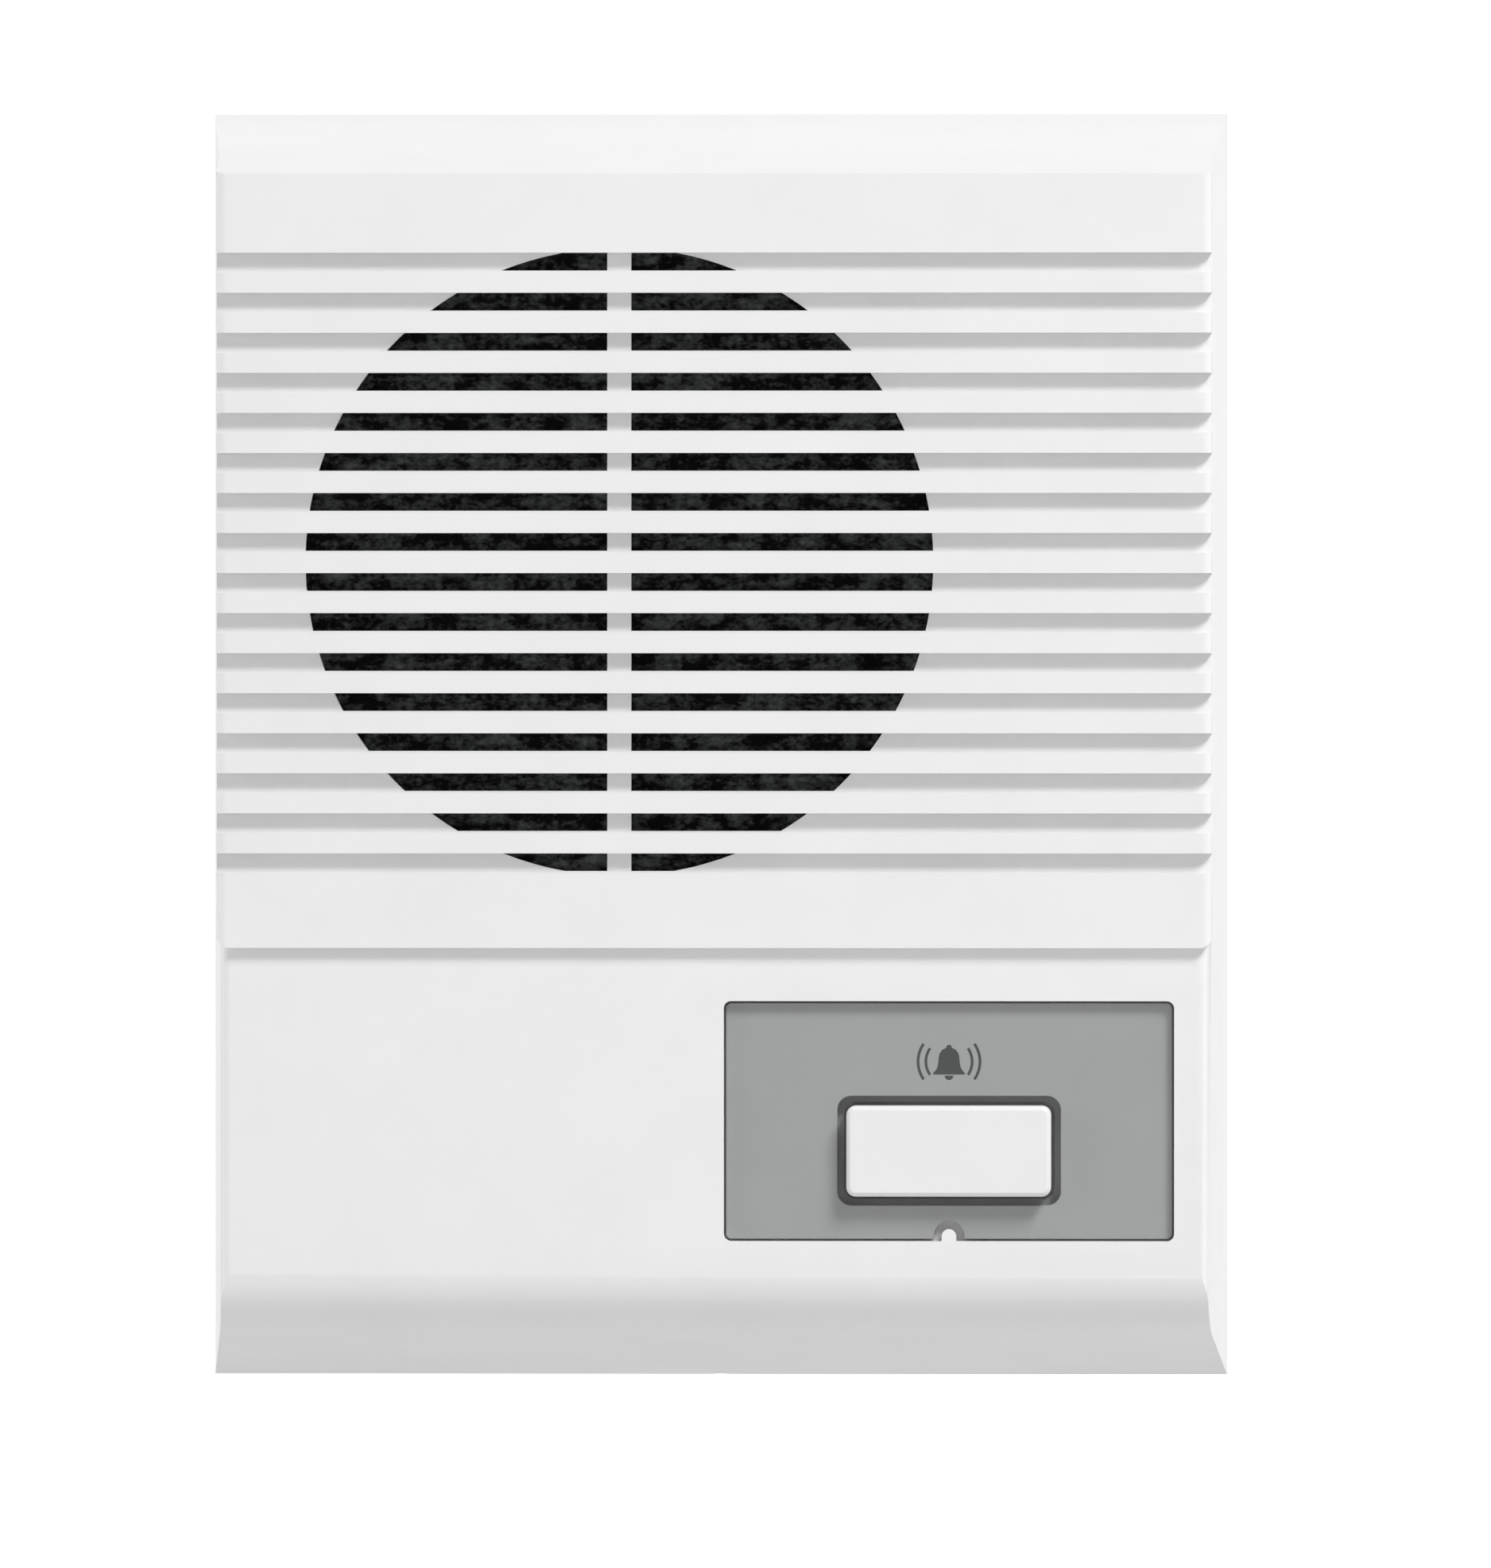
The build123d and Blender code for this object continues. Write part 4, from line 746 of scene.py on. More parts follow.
# The rest of the mark, in the bell's millimetres: its clapper, and the sound lines' radii and stroke.
# The lines reach this many degrees up and down
CLAPPER_RADIUS = 0.42
CLAPPER_DROP = 1.35
SOUND_RADII = (2.35, 3.1)
SOUND_STROKE = 0.26
SOUND_REACH = 35

# Screws: shank radius, head radius and head height in millimetres
SCREW_SIZES = (
    ("speaker_screws", 1.15, 2.185, 1.4),
    ("board_screws", 1.15, 2.185, 1.4),
    ("chassis_screws", 1.3, 2.47, 1.4),
    ("terminal_screws", 1.4, 2.6, 1.5),
    ("lock_screw", 1.65, 2.75, 2.2),
)

# Degrees that the first screw's recess is turned by, and each next one's more, so that they differ
FIRST_TURN = 25
NEXT_TURN = 47

# Head radius in metres that the sidebar's recess width is right for
RECESS_HEAD = 2.2 * MM

# Shares that shape a screw: its crown and lower roll of the head's height, its point's length and end of
# the core's radius, and its recess's length of the head's radius, depth of its height and foot of its mouth
CROWN, HEAD_ROLL = 0.5, 0.08
POINT_LENGTH, POINT_END = 1.6, 0.25
RECESS_LENGTH, RECESS_DEPTH, RECESS_FOOT = 1.15, 0.6, 0.5

# Pieces whose edges are rolled: their finish, the roll in millimetres, and their nodes
SOFTENED = (
    (chassis_plastic, 0.2, ("rear_chassis",)),
    (zinc_sheet, 0.12, ("wall_bracket", "speaker_clamps")),
    (zinc_sheet, 0.1, ("speaker_frame",)),
    (nickel_steel, 0.2, ("top_plate", "pole_yoke")),
    (ferrite, 0.3, ("magnet_ring",)),
    (terminal_plastic, 0.15, ("terminal_block",)),
    (zinc_screw, 0.12, ("terminal_clamps",)),
    (switch_plastic, 0.08, ("switch_housing", "switch_base")),
    (plunger_plastic, 0.08, ("switch_plunger",)),
    (contact_brass, 0.03, ("fixed_contacts", "moving_contact")),
    (tinned_brass, 0.05, ("terminal_plates", "speaker_lugs")),
    (strip_board, 0.06, ("terminal_strip",)),
    (board_laminate, 0.06, ("circuit_board",)),
    (gasket_foam, 0.3, ("speaker_gasket",)),
)

# Speaker: radii of the cone's neck, of the bend in its flare and of its rim, and those where the
# surround and the spider are glued to the basket
NECK_RADIUS = 8.22 * MM
BEND_RADIUS = 14.0 * MM
RIM_RADIUS = 26.4 * MM
SURROUND_SEAT = 28.9 * MM
SPIDER_SEAT = 16.2 * MM

# Thickness of the surround, the spider, the cone's paper and the grille's cloth
SURROUND_SHEET = 0.28 * MM
SPIDER_SHEET = 0.25 * MM
PAPER = 0.4 * MM
CLOTH = 0.18 * MM

# Surround: height of its half roll, and how far it laps over the cone's rim
ROLL_HEIGHT = 0.6 * MM
RIM_LAP = 1.2 * MM

# Spider: height and number of its folds, and how far its foot is glued to the coil's former
FOLD_HEIGHT = 0.42 * MM
FOLDS = 2

# Cone: how far its neck and its flare rise, and the pressed ribs' depth, pitch and first and last radius
NECK_RISE = 2.2 * MM
FLARE_RISE = 3.0 * MM
RIB_DEPTH = 0.14 * MM
RIB_PITCH = 1.25 * MM
FIRST_RIB = 15.0 * MM
LAST_RIB = 22.5 * MM

# Voice coil: bore and wall of its former, radius of its wire, where the winding starts and how long it is
COIL_BORE = 8.0 * MM
FORMER_WALL = 0.2 * MM
COIL_WIRE = 0.08 * MM
COIL_START = 0.5 * MM
COIL_LENGTH = 4.0 * MM

# Grille cloth: size and height of its unevenness
RIPPLE_SIZE = 7 * MM
RIPPLE_HEIGHT = 0.12 * MM

# Speaker leads: the side that each lies on and its insulation, their radii, and how much is stripped
LEADS = (("speaker_lead_red", -1, lead_red), ("speaker_lead_black", 1, lead_black))
LEAD_RADIUS = 0.6 * MM
STRAND_RADIUS = 0.4 * MM
LUG_STRIP = 2.0 * MM
BOARD_STRIP = 1.6 * MM

# Bends of a lead: how far the first lies behind the end at its lug, how far the next lies below and
# behind that end, and how far the last lies in front of the end at the board
LUG_STRAIGHT = 3.4 * MM
LEAD_SLOPE = (3.0 * MM, 5.9 * MM)
BOARD_STRAIGHT = 3.0 * MM

# Resistors: radius, half length, half the distance between their pads, and their leads' bend and radius
RESISTOR_RADIUS = 1.15 * MM
RESISTOR_HALF = 3.15 * MM
RESISTOR_SPAN = 5.1 * MM
WIRE_BEND = 0.9 * MM
WIRE_RADIUS = 0.29 * MM

# Solder: half outline of a joint in millimetres, how far it sinks into what it lies on, and the height
# under a lead's end at which it holds the lug
SOLDER_HALF = ((0, 1.1), (0.38, 1.0), (0.46, 0.6), (0.66, 0.3), (1.0, 0.1), (1.15, 0.0), (0, 0))
SOLDER_SINK = 0.02 * MM
LUG_DEPTH = 0.38 * MM

# Pins on the board: those of a terminal plate from its side and its top edge, and half of the distances
# between the switch's and between the capacitor's
PLATE_PIN = (3.3 * MM, 0.7 * MM)
SWITCH_PINS = 3 * MM
CAPACITOR_PINS = 2.5 * MM

# Stage in metres: the floor's size, the paper's size and place, and the lamps' distance
FLOOR_SIZE = 7.0
FLOOR_PLACE = (0, 0.2)
PAPER_SIZE = 3.0
PAPER_PLACE = (0, 3.6, 0.9)
LAMP_DISTANCE = 1.8


def fill_island():
    """Fills one of the outlines of a mesh in edit mode, picked by its first loose vertex."""
    mesh = bpy.context.object.data
    edit = bmesh.from_edit_mesh(mesh)
    bpy.ops.mesh.select_all(action="DESELECT")
    seed = next(vertex for vertex in edit.verts if not vertex.link_faces)
    seed.select_set(True)
    bmesh.update_edit_mesh(mesh)
    bpy.ops.mesh.select_linked()
    bpy.ops.mesh.edge_face_add()


def cut_slot(piece, height, size, turn, foot=1.0):
    """Cuts a straight slot across a piece, with the end above its middle drawn in to a share."""
    bar = primitive(
        "cube", "bar", size=1, location=(0, 0, height), rotation=(0, 0, math.radians(turn)), scale=size
    )
    edit_mode()
    pick("verts", lambda vertex: vertex.co.z > height)
    widen(foot, (0, 0, 0))
    object_mode()
    use_modifier(piece, "BOOLEAN", operation="DIFFERENCE", object=bar, solver="EXACT")
    bpy.data.objects.remove(bar)


def turned(name, line, node, material, degrees, foot=0.0, steps=72):
    """A round piece in a CAD piece's place: its outline swept round, stood on the wall and finished."""
    low, high = wall_box(node)
    middle = (low + high) / 2
    piece = swept_round(outline(name, line), steps=steps)
    smooth(stood(piece, middle.x, middle.y, foot), degrees)
    finish_with(piece, material, node)


def pan_screw(name, shank, head, thick, reach):
    """A pan-head screw with its head under the origin and its point up, in metres."""
    details = bpy.context.scene.intercom_details
    core = shank - details.thread_depth
    point = POINT_LENGTH * core
    screw = primitive("cylinder", name, vertices=40, radius=head, depth=thick, location=(0, 0, -thick / 2))
    edit_mode()
    pick("edges", lambda edge: all(vertex.co.z < -0.9 * thick for vertex in edge.verts))
    bpy.ops.mesh.bevel(offset=CROWN * thick, segments=5, affect="EDGES")
    pick("edges", lambda edge: all(vertex.co.z > -0.1 * thick for vertex in edge.verts))
    bpy.ops.mesh.bevel(offset=HEAD_ROLL * thick, segments=2, affect="EDGES")
    pick("faces", lambda face: face.normal.z > 0.99)
    extrude((0, 0, 0))
    widen(core / head, (0, 0, 0))
    extrude((0, 0, reach - point))
    extrude((0, 0, point))
    widen(POINT_END, (0, 0, reach))
    object_mode()
    across = details.recess_width * head / RECESS_HEAD
    for turn in (0, 90):
        cut_slot(screw, -thick, (RECESS_LENGTH * head, across, 2 * RECESS_DEPTH * thick), turn, RECESS_FOOT)
    # The thread is wound of wire with three sides, which stands twice as far out as in, and sinks a little
    sink, run_in, run_out = 0.05 * MM, 0.4 * MM, 0.5 * MM
    flank = (details.thread_depth + sink) / 1.5
    turns = int((reach - point - run_out) / details.thread_pitch)
    thread = wound("thread", shank - flank, flank, details.thread_pitch, turns, run_in, 3, 24)
    close_ends(thread)
    screw = joined([screw, thread], name)
    smooth(screw, 40)
    return screw


class IntercomCover(Operator):
    """Moulded cover: rolled edges and satin white plastic."""

    bl_idname = "intercom.cover"
    bl_label = "Front cover"

    def execute(self, context):
        cover = softened("front_cover", context.scene.intercom_details.cover_edge)
        finish_with(cover, cover_plastic(), "front_cover")
        return {"FINISHED"}


class IntercomFacePlate(Operator):
    """Grey face plate: rolled edges and matt grey plastic."""

    bl_idname = "intercom.face_plate"
    bl_label = "Face plate"

    def execute(self, context):
        plate = softened("face_plate", context.scene.intercom_details.plate_edge)
        finish_with(plate, plate_plastic(), "face_plate")
        return {"FINISHED"}


class IntercomCallButton(Operator):
    """White button cap with softened edges."""

    bl_idname = "intercom.call_button"
    bl_label = "Call button"

    def execute(self, context):
        cap = softened("call_button_cap", context.scene.intercom_details.button_edge, 3)
        finish_with(cap, button_plastic(), "call_button_cap")
        return {"FINISHED"}


class IntercomBell(Operator):
    """Printed bell with its sound lines, over the call button."""

    bl_idname = "intercom.bell"
    bl_label = "Printed bell"

    def execute(self, context):
        details = context.scene.intercom_details
        unit = details.mark_width / (2 * SOUND_RADII[-1])
        low, high = wall_box("face_plate")
        drop, swing = -CLAPPER_DROP * unit, CLAPPER_RADIUS * unit
        parts = [
            outline("bell_body", [(x * unit, z * unit) for x, z in BELL_HALF]),
            outline("bell_clapper", [*arc(0, drop, swing, 180, 270), (0, drop)]),
        ]
        for number, radius in enumerate(SOUND_RADII):
            outer = arc(0, 0, radius * unit, -SOUND_REACH, SOUND_REACH)
            inner = arc(0, 0, (radius - SOUND_STROKE) * unit, SOUND_REACH, -SOUND_REACH)
            parts.append(outline(f"bell_line_{number}", outer + inner))
        mark = joined(parts, "bell_mark")
        edit_mode()
        for _ in parts:
            fill_island()
        object_mode()
        use_modifier(mark, "MIRROR", merge_threshold=SAME_CORNER)
        edit_all()
        extrude((0, -2 * INK, 0))
        object_mode()
        mark.location = ((low.x + high.x) / 2, -high.z + INK, high.y - details.mark_drop)
        apply_place(mark)
        outward(mark)
        finish_with(mark, printed_ink(), "face_plate")
        return {"FINISHED"}


class IntercomScrews(Operator):
    """Pan-head screws with cross recesses and threads."""

    bl_idname = "intercom.screws"
    bl_label = "Screws"

    def execute(self, context):
        steel = zinc_screw()
        for node, shank, head, thick in SCREW_SIZES:
            low, high = wall_box(node)
            middle = (low + high) / 2
            shank, head, thick = shank * MM, head * MM, thick * MM
            if node == "lock_screw":
                screw = pan_screw("lock_screw_pan_head", shank, head, thick, high.y - low.y - thick)
                screw.location = (middle.x, -middle.z, low.y + thick)
                apply_place(screw)
                finish_with(screw, steel, node)
                continue
            right = (low.x + head, high.x - head)
            places = [(x, y) for x in right for y in (low.y + head, high.y - head)]
            if node == "terminal_screws":
                places = [(x, middle.y) for x in (right[0], middle.x, right[1])]
            first = pan_screw(f"{node}_first", shank, head, thick, high.z - low.z - thick)
            screws = []
            for number, (x, y) in enumerate(places):
                turn = math.radians(FIRST_TURN + NEXT_TURN * number)
                screws.append(stood(copied(first, f"{node}_{number}"), x, y, low.z + thick, turn))
            bpy.data.objects.remove(first)
            finish_with(joined(screws, f"{node}_pan_head"), steel, node)
        return {"FINISHED"}


class IntercomSpring(Operator):
    """Round-wire spring under the call button's plunger."""

    bl_idname = "intercom.spring"
    bl_label = "Switch spring"

    def execute(self, context):
        details = context.scene.intercom_details
        wire = details.spring_wire / 2
        low, high = wall_box("switch_spring")
        middle = (low + high) / 2
        radius = (high.x - low.x) / 2 - wire
        start, end = low.z + wire, high.z - wire
        # The first and last turns lie almost closed, as a spring's dead coils do
        dead = 2.1 * wire
        pitch = (end - start - 2 * dead) / details.spring_turns
        coils = [
            wound("spring_foot", radius, wire, dead, 1, start, 10),
            wound("spring_coils", radius, wire, pitch, details.spring_turns, start + dead, 10),
            wound("spring_head", radius, wire, dead, 1, end - dead, 10),
        ]
        spring = joined(coils, "switch_spring_wire")
        close_ends(spring)
        smooth(stood(spring, middle.x, middle.y, 0), 60)
        finish_with(spring, spring_wire(), "switch_spring")
        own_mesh(spring)
        return {"FINISHED"}


class IntercomMouldings(Operator):
    """Inner mouldings, pressings and turned pieces, with the edges that their tools leave."""

    bl_idname = "intercom.mouldings"
    bl_label = "Mouldings and pressings"

    def execute(self, context):
        for finish, edge, nodes in SOFTENED:
            material = finish()
            for node in nodes:
                finish_with(softened(node, edge * MM), material, node)
        return {"FINISHED"}


def bending_ring(node, line, thick, material):
    """A ring of cloth in narrow sectors, each reaching between the basket and the cone."""
    count = bpy.context.scene.intercom_details.ring_sectors
    low, high = wall_box(node)
    middle = (low + high) / 2
    first = swept_round(outline(f"{node}_first", sheet_outline(line, thick)), 1 / count, 3)
    close_ends(first)
    smooth(first, 60)
    for number in range(count):
        sector = copied(first, f"{node}_{number:02d}")
        stood(sector, middle.x, middle.y, 0, 2 * math.pi * number / count)
        finish_with(sector, material, node, rides=False)
        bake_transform(sector)
    bpy.data.objects.remove(first)


class IntercomSpeakerRings(Operator):
    """Half-roll surround and corrugated spider."""

    bl_idname = "intercom.speaker_rings"
    bl_label = "Surround and spider"

    def execute(self, context):
        low, high = wall_box("cone_surround")
        seat, steps = low.z + SURROUND_SHEET, 10
        middle, half = (RIM_RADIUS + SURROUND_SEAT) / 2, (SURROUND_SEAT - RIM_RADIUS) / 2
        turns = [math.pi * step / steps for step in range(steps + 1)]
        roll = [(middle - half * math.cos(turn), seat + ROLL_HEIGHT * math.sin(turn)) for turn in turns]
        line = [(RIM_RADIUS - RIM_LAP, seat), *roll, ((high.x - low.x) / 2, seat)]
        bending_ring("cone_surround", line, SURROUND_SHEET, surround_cloth())

        low, high = wall_box("spider")
        front, steps = (low.z + high.z) / 2 + SPIDER_SHEET / 2, 12 * FOLDS
        line = []
        for step in range(steps + 1):
            across = NECK_RADIUS + (SPIDER_SEAT - NECK_RADIUS) * step / steps
            line.append((across, front + FOLD_HEIGHT * math.sin(2 * math.pi * FOLDS * step / steps)))
        line.append(((high.x - low.x) / 2, front))
        bending_ring("spider", line, SPIDER_SHEET, spider_cloth())
        return {"FINISHED"}


class IntercomCone(Operator):
    """Paper cone with pressed ribs, its dust cap, and the voice coil wound on its former."""

    bl_idname = "intercom.cone"
    bl_label = "Cone and coil"

    def execute(self, context):
        paper = cone_paper()
        low, high = wall_box("speaker_cone")
        line, steps = [], 36
        for step in range(steps + 1):
            radius = NECK_RADIUS + (RIM_RADIUS - NECK_RADIUS) * step / steps
            neck = (min(radius, BEND_RADIUS) - NECK_RADIUS) / (BEND_RADIUS - NECK_RADIUS)
            flare = max(radius - BEND_RADIUS, 0) / (RIM_RADIUS - BEND_RADIUS)
            rib = abs(math.sin((radius - FIRST_RIB) * math.pi / RIB_PITCH))
            depth = RIB_DEPTH * rib if FIRST_RIB < radius < LAST_RIB else 0
            line.append((radius, low.z + PAPER + NECK_RISE * neck + FLARE_RISE * flare - depth))
        line[-1] = (RIM_RADIUS, high.z)
        turned("paper_cone", sheet_outline(line, PAPER), "speaker_cone", paper, 50, steps=96)

        low, high = wall_box("dust_cap")
        rise, radius = high.z - low.z, (high.x - low.x) / 2
        ball = (radius**2 + rise**2) / (2 * rise)
        half = math.degrees(math.asin(radius / ball))
        dome = arc(0, high.z - ball, ball, 90 - half, 90, 14)
        # The lining stops a little short of the dome's rim and goes straight down from there
        lining = arc(0, high.z - ball, ball - PAPER, 90, 90 - half * 0.97, 14)
        lining[-1] = (lining[-1][0], low.z)
        turned("dust_dome", [*dome, *lining, dome[0]], "dust_cap", paper, 40)

        low, high = wall_box("voice_coil")
        middle = (low + high) / 2
        bore, wall = COIL_BORE, COIL_BORE + FORMER_WALL
        corners = [(bore, low.z), (wall, low.z), (wall, high.z), (bore, high.z), (bore, low.z)]
        turned("coil_former", corners, "voice_coil", strip_board(), 40)
        start = low.z + COIL_START + COIL_WIRE
        radius = (high.x - low.x) / 2 - COIL_WIRE
        pitch, layer = 2.15 * COIL_WIRE, 1.8 * COIL_WIRE
        turns = int((COIL_LENGTH - 2 * COIL_WIRE) / pitch)
        under = wound("coil_under", radius - layer, COIL_WIRE, pitch, turns, start, 6, 48)
        over = wound("coil_over", radius, COIL_WIRE, pitch, turns, start, 6, 48)
        winding = joined([under, over], "coil_winding")
        close_ends(winding)
        smooth(stood(winding, middle.x, middle.y, 0), 60)
        finish_with(winding, coil_copper(), "voice_coil")
        return {"FINISHED"}


class IntercomGrilleCloth(Operator):
    """Speaker cloth, stretched over its ring and a little uneven between the slats."""

    bl_idname = "intercom.grille_cloth"
    bl_label = "Grille cloth"

    def execute(self, context):
        low, high = wall_box("speaker_cloth")
        middle, across = (low + high) / 2, high.x - low.x
        cloth = primitive("circle", "woven_cloth", vertices=96, radius=across / 2, fill_type="TRIFAN")
        edit_all()
        bpy.ops.mesh.subdivide(number_cuts=9)
        object_mode()
        ripple = bpy.data.textures.new("cloth_ripple", "CLOUDS")
        ripple.noise_scale = RIPPLE_SIZE
        use_modifier(cloth, "DISPLACE", texture=ripple, strength=RIPPLE_HEIGHT, mid_level=0.5)
        use_modifier(cloth, "SOLIDIFY", thickness=CLOTH, offset=0)
        stood(cloth, middle.x, middle.y, middle.z)
        outward(cloth)
        smooth(cloth, 50)
        finish_with(cloth, grille_cloth(), "speaker_cloth")
        return {"FINISHED"}


def lead_route(node, side):
    """The bends of a speaker lead from its lug down to the board, as right, up and out of the wall."""
    low, high = wall_box(node)
    left, right = low.x + LEAD_RADIUS, high.x - LEAD_RADIUS
    eye, hole = (left, right) if side > 0 else (right, left)
    top, foot = high.y - LEAD_RADIUS, low.y + LEAD_RADIUS
    down, behind = LEAD_SLOPE
    return [
        (eye, top, high.z),
        (eye, top, high.z - LUG_STRAIGHT),
        (hole, top - down, high.z - behind),
        (hole, foot, low.z + BOARD_STRAIGHT),
        (hole, foot, low.z),
    ]


class IntercomLeads(Operator):
    """Insulated leads from the speaker to the board, with bare tinned ends."""

    bl_idname = "intercom.leads"
    bl_label = "Speaker leads"

    def execute(self, context):
        bare = tinned_brass()
        for node, side, insulation in LEADS:
            route = lead_route(node, side)
            (eye, top, front), (hole, foot, back) = route[0], route[-1]
            finish_with(tube(f"{node}_strands", route, STRAND_RADIUS), bare, node)
            covered = [(eye, top, front - LUG_STRIP), *route[1:-1], (hole, foot, back + BOARD_STRIP)]
            finish_with(tube(f"{node}_insulation", covered, LEAD_RADIUS, 6), insulation(), node)
        return {"FINISHED"}


def make_capacitor():
    """An electrolytic capacitor in its sleeve, crimped near the foot, with a scored lid."""
    low, high = wall_box("capacitor")
    middle = (low + high) / 2
    radius, tall = (high.x - low.x) / 2, high.z - low.z
    dish, edge, roll, sunk = 0.3 * MM, 0.2 * MM, 0.5 * MM, 0.2 * MM
    window, lid_radius = 0.78 * radius, 0.77 * radius
    groove = arc(radius + 0.15 * MM, 1.6 * MM, 0.45 * MM, 250, 110, 8)
    shoulder = arc(radius - roll, tall - roll, roll, 0, 90, 6)
    sleeve = [(0, dish), (radius - edge, 0), (radius, edge), *groove, *shoulder]
    sleeve += [(window, tall), (window, tall - sunk), (0, tall - sunk), (0, dish)]
    turned("capacitor_can", sleeve, "capacitor", capacitor_sleeve(), 40, low.z, 64)
    lid = primitive(
        "cylinder",
        "capacitor_lid",
        vertices=48,
        radius=lid_radius,
        depth=0.3 * MM,
        location=(0, 0, tall - sunk),
    )
    edit_mode()
    pick("edges", lambda edge: all(vertex.co.z > tall - 0.1 * MM for vertex in edge.verts))
    bpy.ops.mesh.bevel(offset=0.1 * MM, segments=2, affect="EDGES")
    object_mode()
    for turn in (30, 120):
        cut_slot(lid, tall, (1.1 * radius, 0.16 * MM, 0.24 * MM), turn)
    smooth(stood(lid, middle.x, middle.y, low.z), 40)
    finish_with(lid, bare_aluminium(), "capacitor")


def resistor_places():
    """Where the resistors lie: their middle across the wall, their rows up it and their axes out of it."""
    low, high = wall_box("resistors")
    rows = (low.y + RESISTOR_RADIUS, (low.y + high.y) / 2, high.y - RESISTOR_RADIUS)
    return (low.x + high.x) / 2, rows, high.z - RESISTOR_RADIUS


def make_resistors():
    """Three resistors with a waist between their caps, and wires bent down through the board."""
    middle, rows, axis = resistor_places()
    foot = wall_box("resistors")[0].z
    cap = [
        (0.32 * MM, -RESISTOR_HALF),
        (0.8 * RESISTOR_RADIUS, -RESISTOR_HALF),
        (RESISTOR_RADIUS, -RESISTOR_HALF + 0.3 * MM),
        (RESISTOR_RADIUS, -RESISTOR_HALF + 1.2 * MM),
        (0.86 * RESISTOR_RADIUS, -RESISTOR_HALF + 1.7 * MM),
    ]
    shape = [*cap, *[(across, -height) for across, height in reversed(cap)], cap[0]]
    first = swept_round(outline("resistor_first", shape), steps=32)
    first.rotation_euler = (0, math.pi / 2, 0)
    apply_place(first)
    left = middle - RESISTOR_SPAN
    bodies, wires = [], []
    for number, up in enumerate(rows):
        bodies.append(stood(copied(first, f"resistor_{number}"), middle, up, axis))
        bend = [
            (left, up, foot),
            (left, up, axis - WIRE_BEND),
            (left + 0.2 * MM, up, axis - 0.1 * MM),
            (left + WIRE_BEND, up, axis),
        ]
        bend += [(2 * middle - x, y, z) for x, y, z in reversed(bend)]
        wires.append(tube(f"resistor_wire_{number}", bend, WIRE_RADIUS))
    bpy.data.objects.remove(first)
    resistors = joined(bodies, "resistor_bodies")
    smooth(resistors, 40)
    finish_with(resistors, resistor_coat(), "resistors")
    finish_with(joined(wires, "resistor_wires"), tinned_brass(), "resistors")


def solder_places():
    """Where solder joints stand, as right, up and out: those that point at the room, and at the wall."""
    board_low, board_high = wall_box("circuit_board")
    front, back = board_high.z - SOLDER_SINK, board_low.z + SOLDER_SINK
    routes = [lead_route(node, side) for node, side, insulation in LEADS]
    low, high = wall_box("terminal_plates")
    inset, drop = PLATE_PIN
    pins = (low.x + inset, (low.x + high.x) / 2, high.x - inset)
    before = [(right, high.y - drop, front) for right in pins]
    before += [(*route[-1][:2], front) for route in routes]
    middle, rows, axis = resistor_places()
    behind = [(middle + side * RESISTOR_SPAN, up, back) for up in rows for side in (-1, 1)]
    for node, half in (("fixed_contacts", SWITCH_PINS), ("capacitor", CAPACITOR_PINS)):
        low, high = wall_box(node)
        centre = (low + high) / 2
        behind += [(centre.x + side * half, centre.y, back) for side in (-1, 1)]
    behind += [(eye, top, end - LUG_DEPTH) for eye, top, end in (route[0] for route in routes)]
    return before, behind


def make_solder():
    """Solder joints on both sides of the board and on the speaker's lugs."""
    before, behind = solder_places()
    first = swept_round(outline("solder_first", [(x * MM, z * MM) for x, z in SOLDER_HALF]), steps=20)
    joints = [stood(copied(first, f"solder_before_{number}"), *place) for number, place in enumerate(before)]
    first.rotation_euler = (math.pi, 0, 0)
    apply_place(first)
    joints += [stood(copied(first, f"solder_behind_{number}"), *place) for number, place in enumerate(behind)]
    bpy.data.objects.remove(first)
    solder = joined(joints, "solder_joints")
    smooth(solder, 50)
    solder.data.materials.clear()
    solder.data.materials.append(soft_solder())
    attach(solder, "housing")


class IntercomBoardParts(Operator):
    """Capacitor can, resistors with their bent leads, and the solder joints."""

    bl_idname = "intercom.board_parts"
    bl_label = "Parts on the board"

    def execute(self, context):
        make_capacitor()
        make_resistors()
        make_solder()
        return {"FINISHED"}


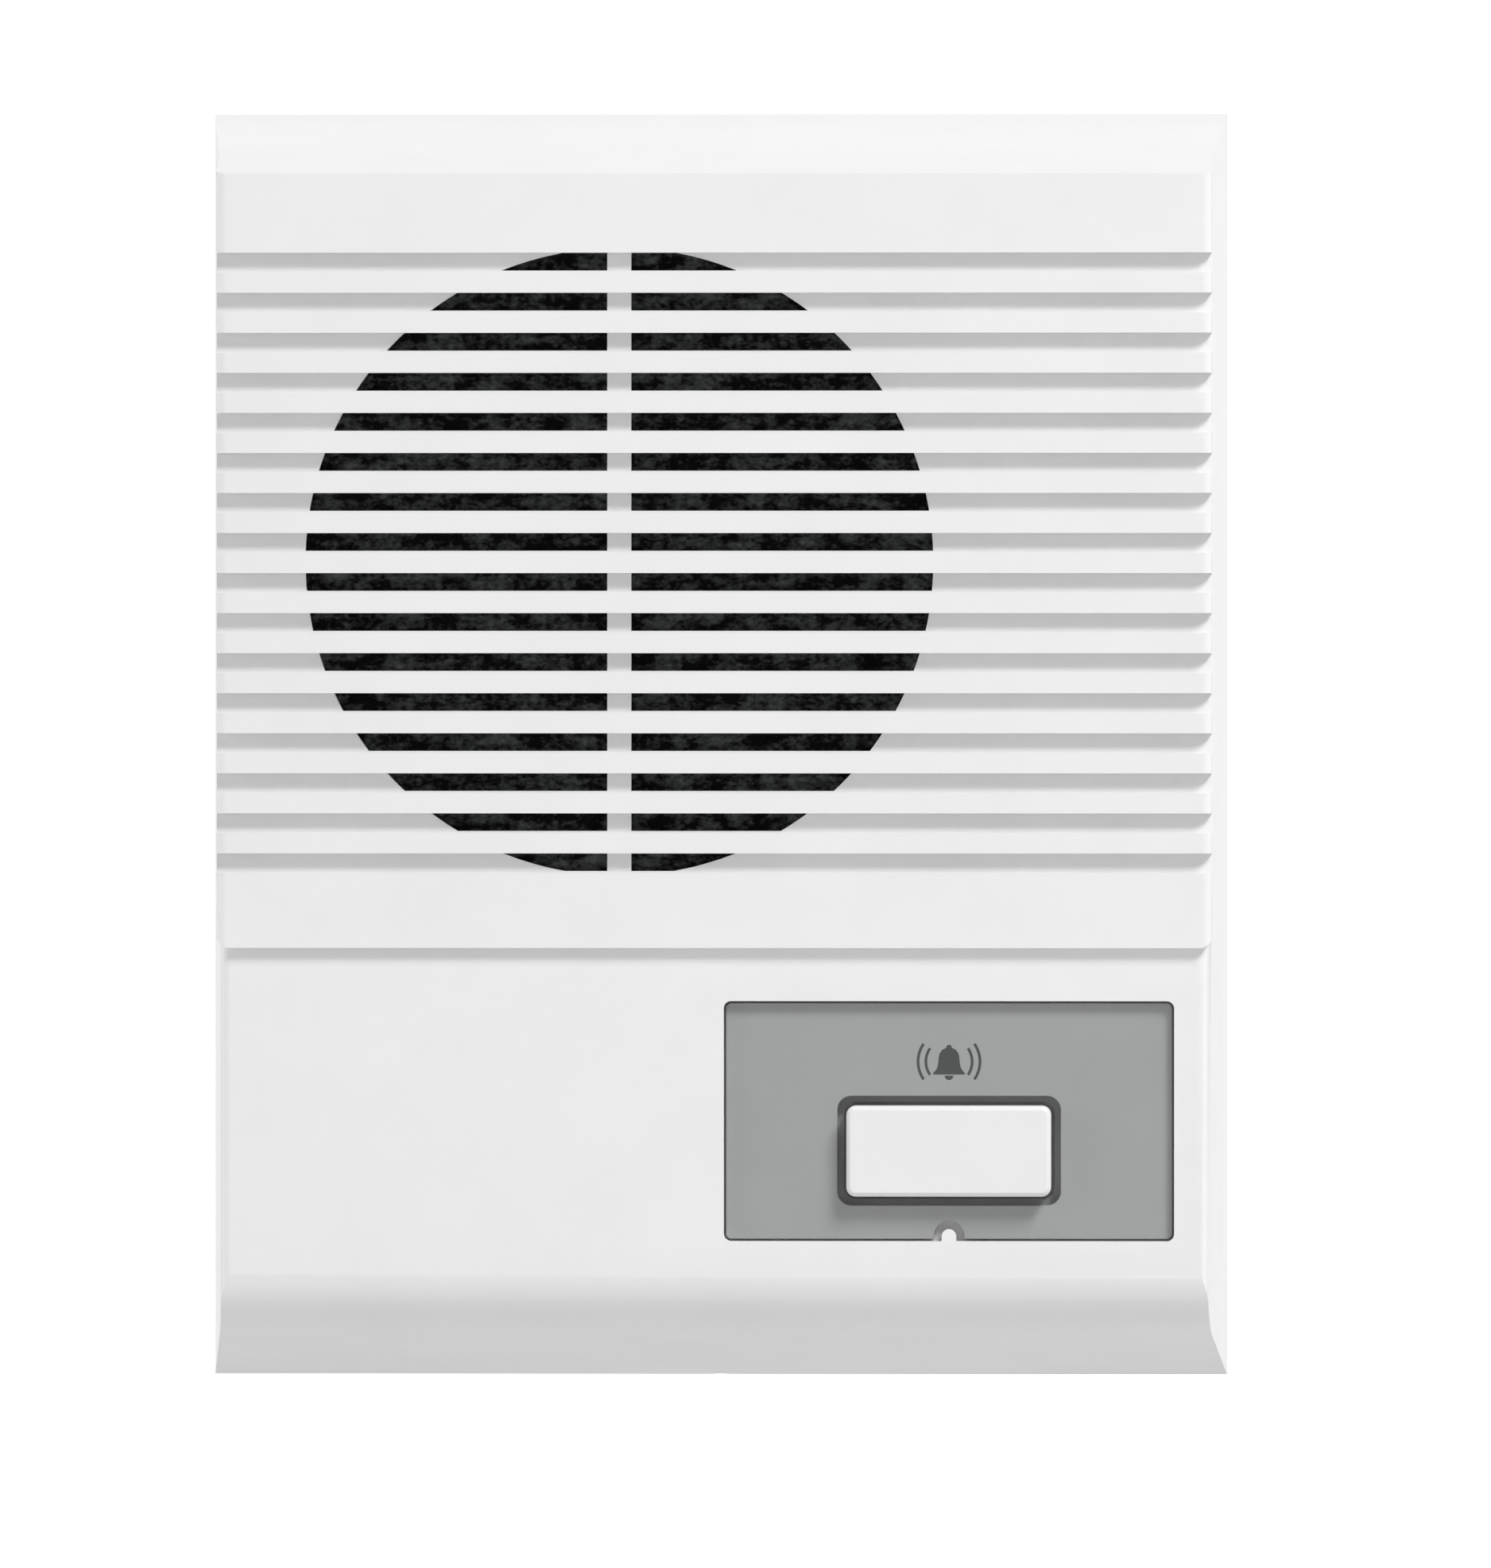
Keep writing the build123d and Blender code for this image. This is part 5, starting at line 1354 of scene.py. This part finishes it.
class IntercomStageSet(Operator):
    """Pale floor, lit background paper, soft lights and the camera at the photograph's angle."""

    bl_idname = "intercom.stage"
    bl_label = "Stage, lights and camera"

    def execute(self, context):
        stage = context.scene.intercom_stage
        place = (*FLOOR_PLACE, -stage.floor_drop)
        floor = primitive("plane", "floor", size=FLOOR_SIZE, location=place)
        floor.data.materials.append(floor_paint())
        upright = (math.radians(90), 0, 0)
        paper = primitive(
            "plane", "background_paper", size=PAPER_SIZE, location=PAPER_PLACE, rotation=upright
        )
        paper.data.materials.append(lit_paper())

        world = bpy.data.worlds.new("white_room")
        world.use_nodes = True
        background = world.node_tree.nodes["Background"]
        background.inputs["Color"].default_value = linear("#FFFFFF")
        background.inputs["Strength"].default_value = stage.sky
        context.scene.world = world
        context.scene.view_settings.view_transform = "Standard"

        for name, way, watts, size in (
            ("key_light", (0.44, -0.57, 0.69), stage.key_power, 0.6),
            ("right_light", (0.97, 0.2, 0.1), stage.right_power, 0.9),
            ("left_light", (-0.97, 0.25, 0.0), stage.left_power, 0.9),
            ("fill_light", (-0.9, -0.4, 0.15), stage.fill_power, 0.9),
        ):
            towards = Vector(way).normalized()
            bpy.ops.object.light_add(type="AREA", location=towards * LAMP_DISTANCE)
            lamp = context.object
            lamp.name = name
            lamp.data.shape = "DISK"
            lamp.data.size = size
            lamp.data.energy = watts
            lamp.rotation_euler = towards.to_track_quat("Z", "Y").to_euler()

        front = Vector((0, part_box("front_cover")[0].y, 0))
        turn, rise = stage.camera_turn, stage.camera_rise
        back = Vector((math.sin(turn) * math.cos(rise), -math.cos(turn) * math.cos(rise), math.sin(rise)))
        eye = front + back * stage.camera_distance
        right = Vector((math.cos(turn), math.sin(turn), 0))
        up = right.cross(-back)
        per_pixel = MM / PIXELS_PER_MM_AT_FACE
        off_x = PHOTO_WIDTH / 2 - FACE_CENTRE_PIXEL[0]
        off_y = FACE_CENTRE_PIXEL[1] - PHOTO_HEIGHT / 2
        aim = front + right * off_x * per_pixel + up * off_y * per_pixel
        bpy.ops.object.camera_add(location=eye)
        camera = context.object
        camera.rotation_euler = (eye - aim).to_track_quat("Z", "Y").to_euler()
        camera.data.sensor_width = SENSOR
        pixels = PIXELS_PER_MM_AT_FACE * stage.camera_distance / MM
        camera.data.lens = pixels / PHOTO_HEIGHT * SENSOR
        camera.data.clip_end = 20.0
        context.scene.camera = camera
        return {"FINISHED"}


class IntercomPanel(Panel):
    """Lists the steps that build the substation's looks."""

    bl_label = "Intercom substation"
    bl_idname = "VIEW3D_PT_intercom"
    bl_space_type = "VIEW_3D"
    bl_region_type = "UI"
    bl_category = "Intercom"

    def draw(self, context):
        for step in STEPS:
            self.layout.operator(step.bl_idname)


STEPS = (
    IntercomCover,
    IntercomFacePlate,
    IntercomBell,
    IntercomCallButton,
    IntercomScrews,
    IntercomSpring,
    IntercomMouldings,
    IntercomSpeakerRings,
    IntercomCone,
    IntercomGrilleCloth,
    IntercomLeads,
    IntercomBoardParts,
    IntercomStageSet,
)
CLASSES = (IntercomFinishes, IntercomDetails, IntercomStage, *STEPS, IntercomPanel)


def register():
    """Adds the classes and their settings to Blender."""
    for cls in CLASSES:
        bpy.utils.register_class(cls)
    bpy.types.Scene.intercom_finishes = PointerProperty(type=IntercomFinishes)
    bpy.types.Scene.intercom_details = PointerProperty(type=IntercomDetails)
    bpy.types.Scene.intercom_stage = PointerProperty(type=IntercomStage)


def unregister():
    """Takes the settings and the classes out again."""
    for name in ("intercom_finishes", "intercom_details", "intercom_stage"):
        delattr(bpy.types.Scene, name)
    for cls in reversed(CLASSES):
        bpy.utils.unregister_class(cls)


def main():
    """Registers the add-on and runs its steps."""
    register()
    for step in STEPS:
        group, name = step.bl_idname.split(".")
        getattr(getattr(bpy.ops, group), name)()


if __name__ == "__main__":
    main()
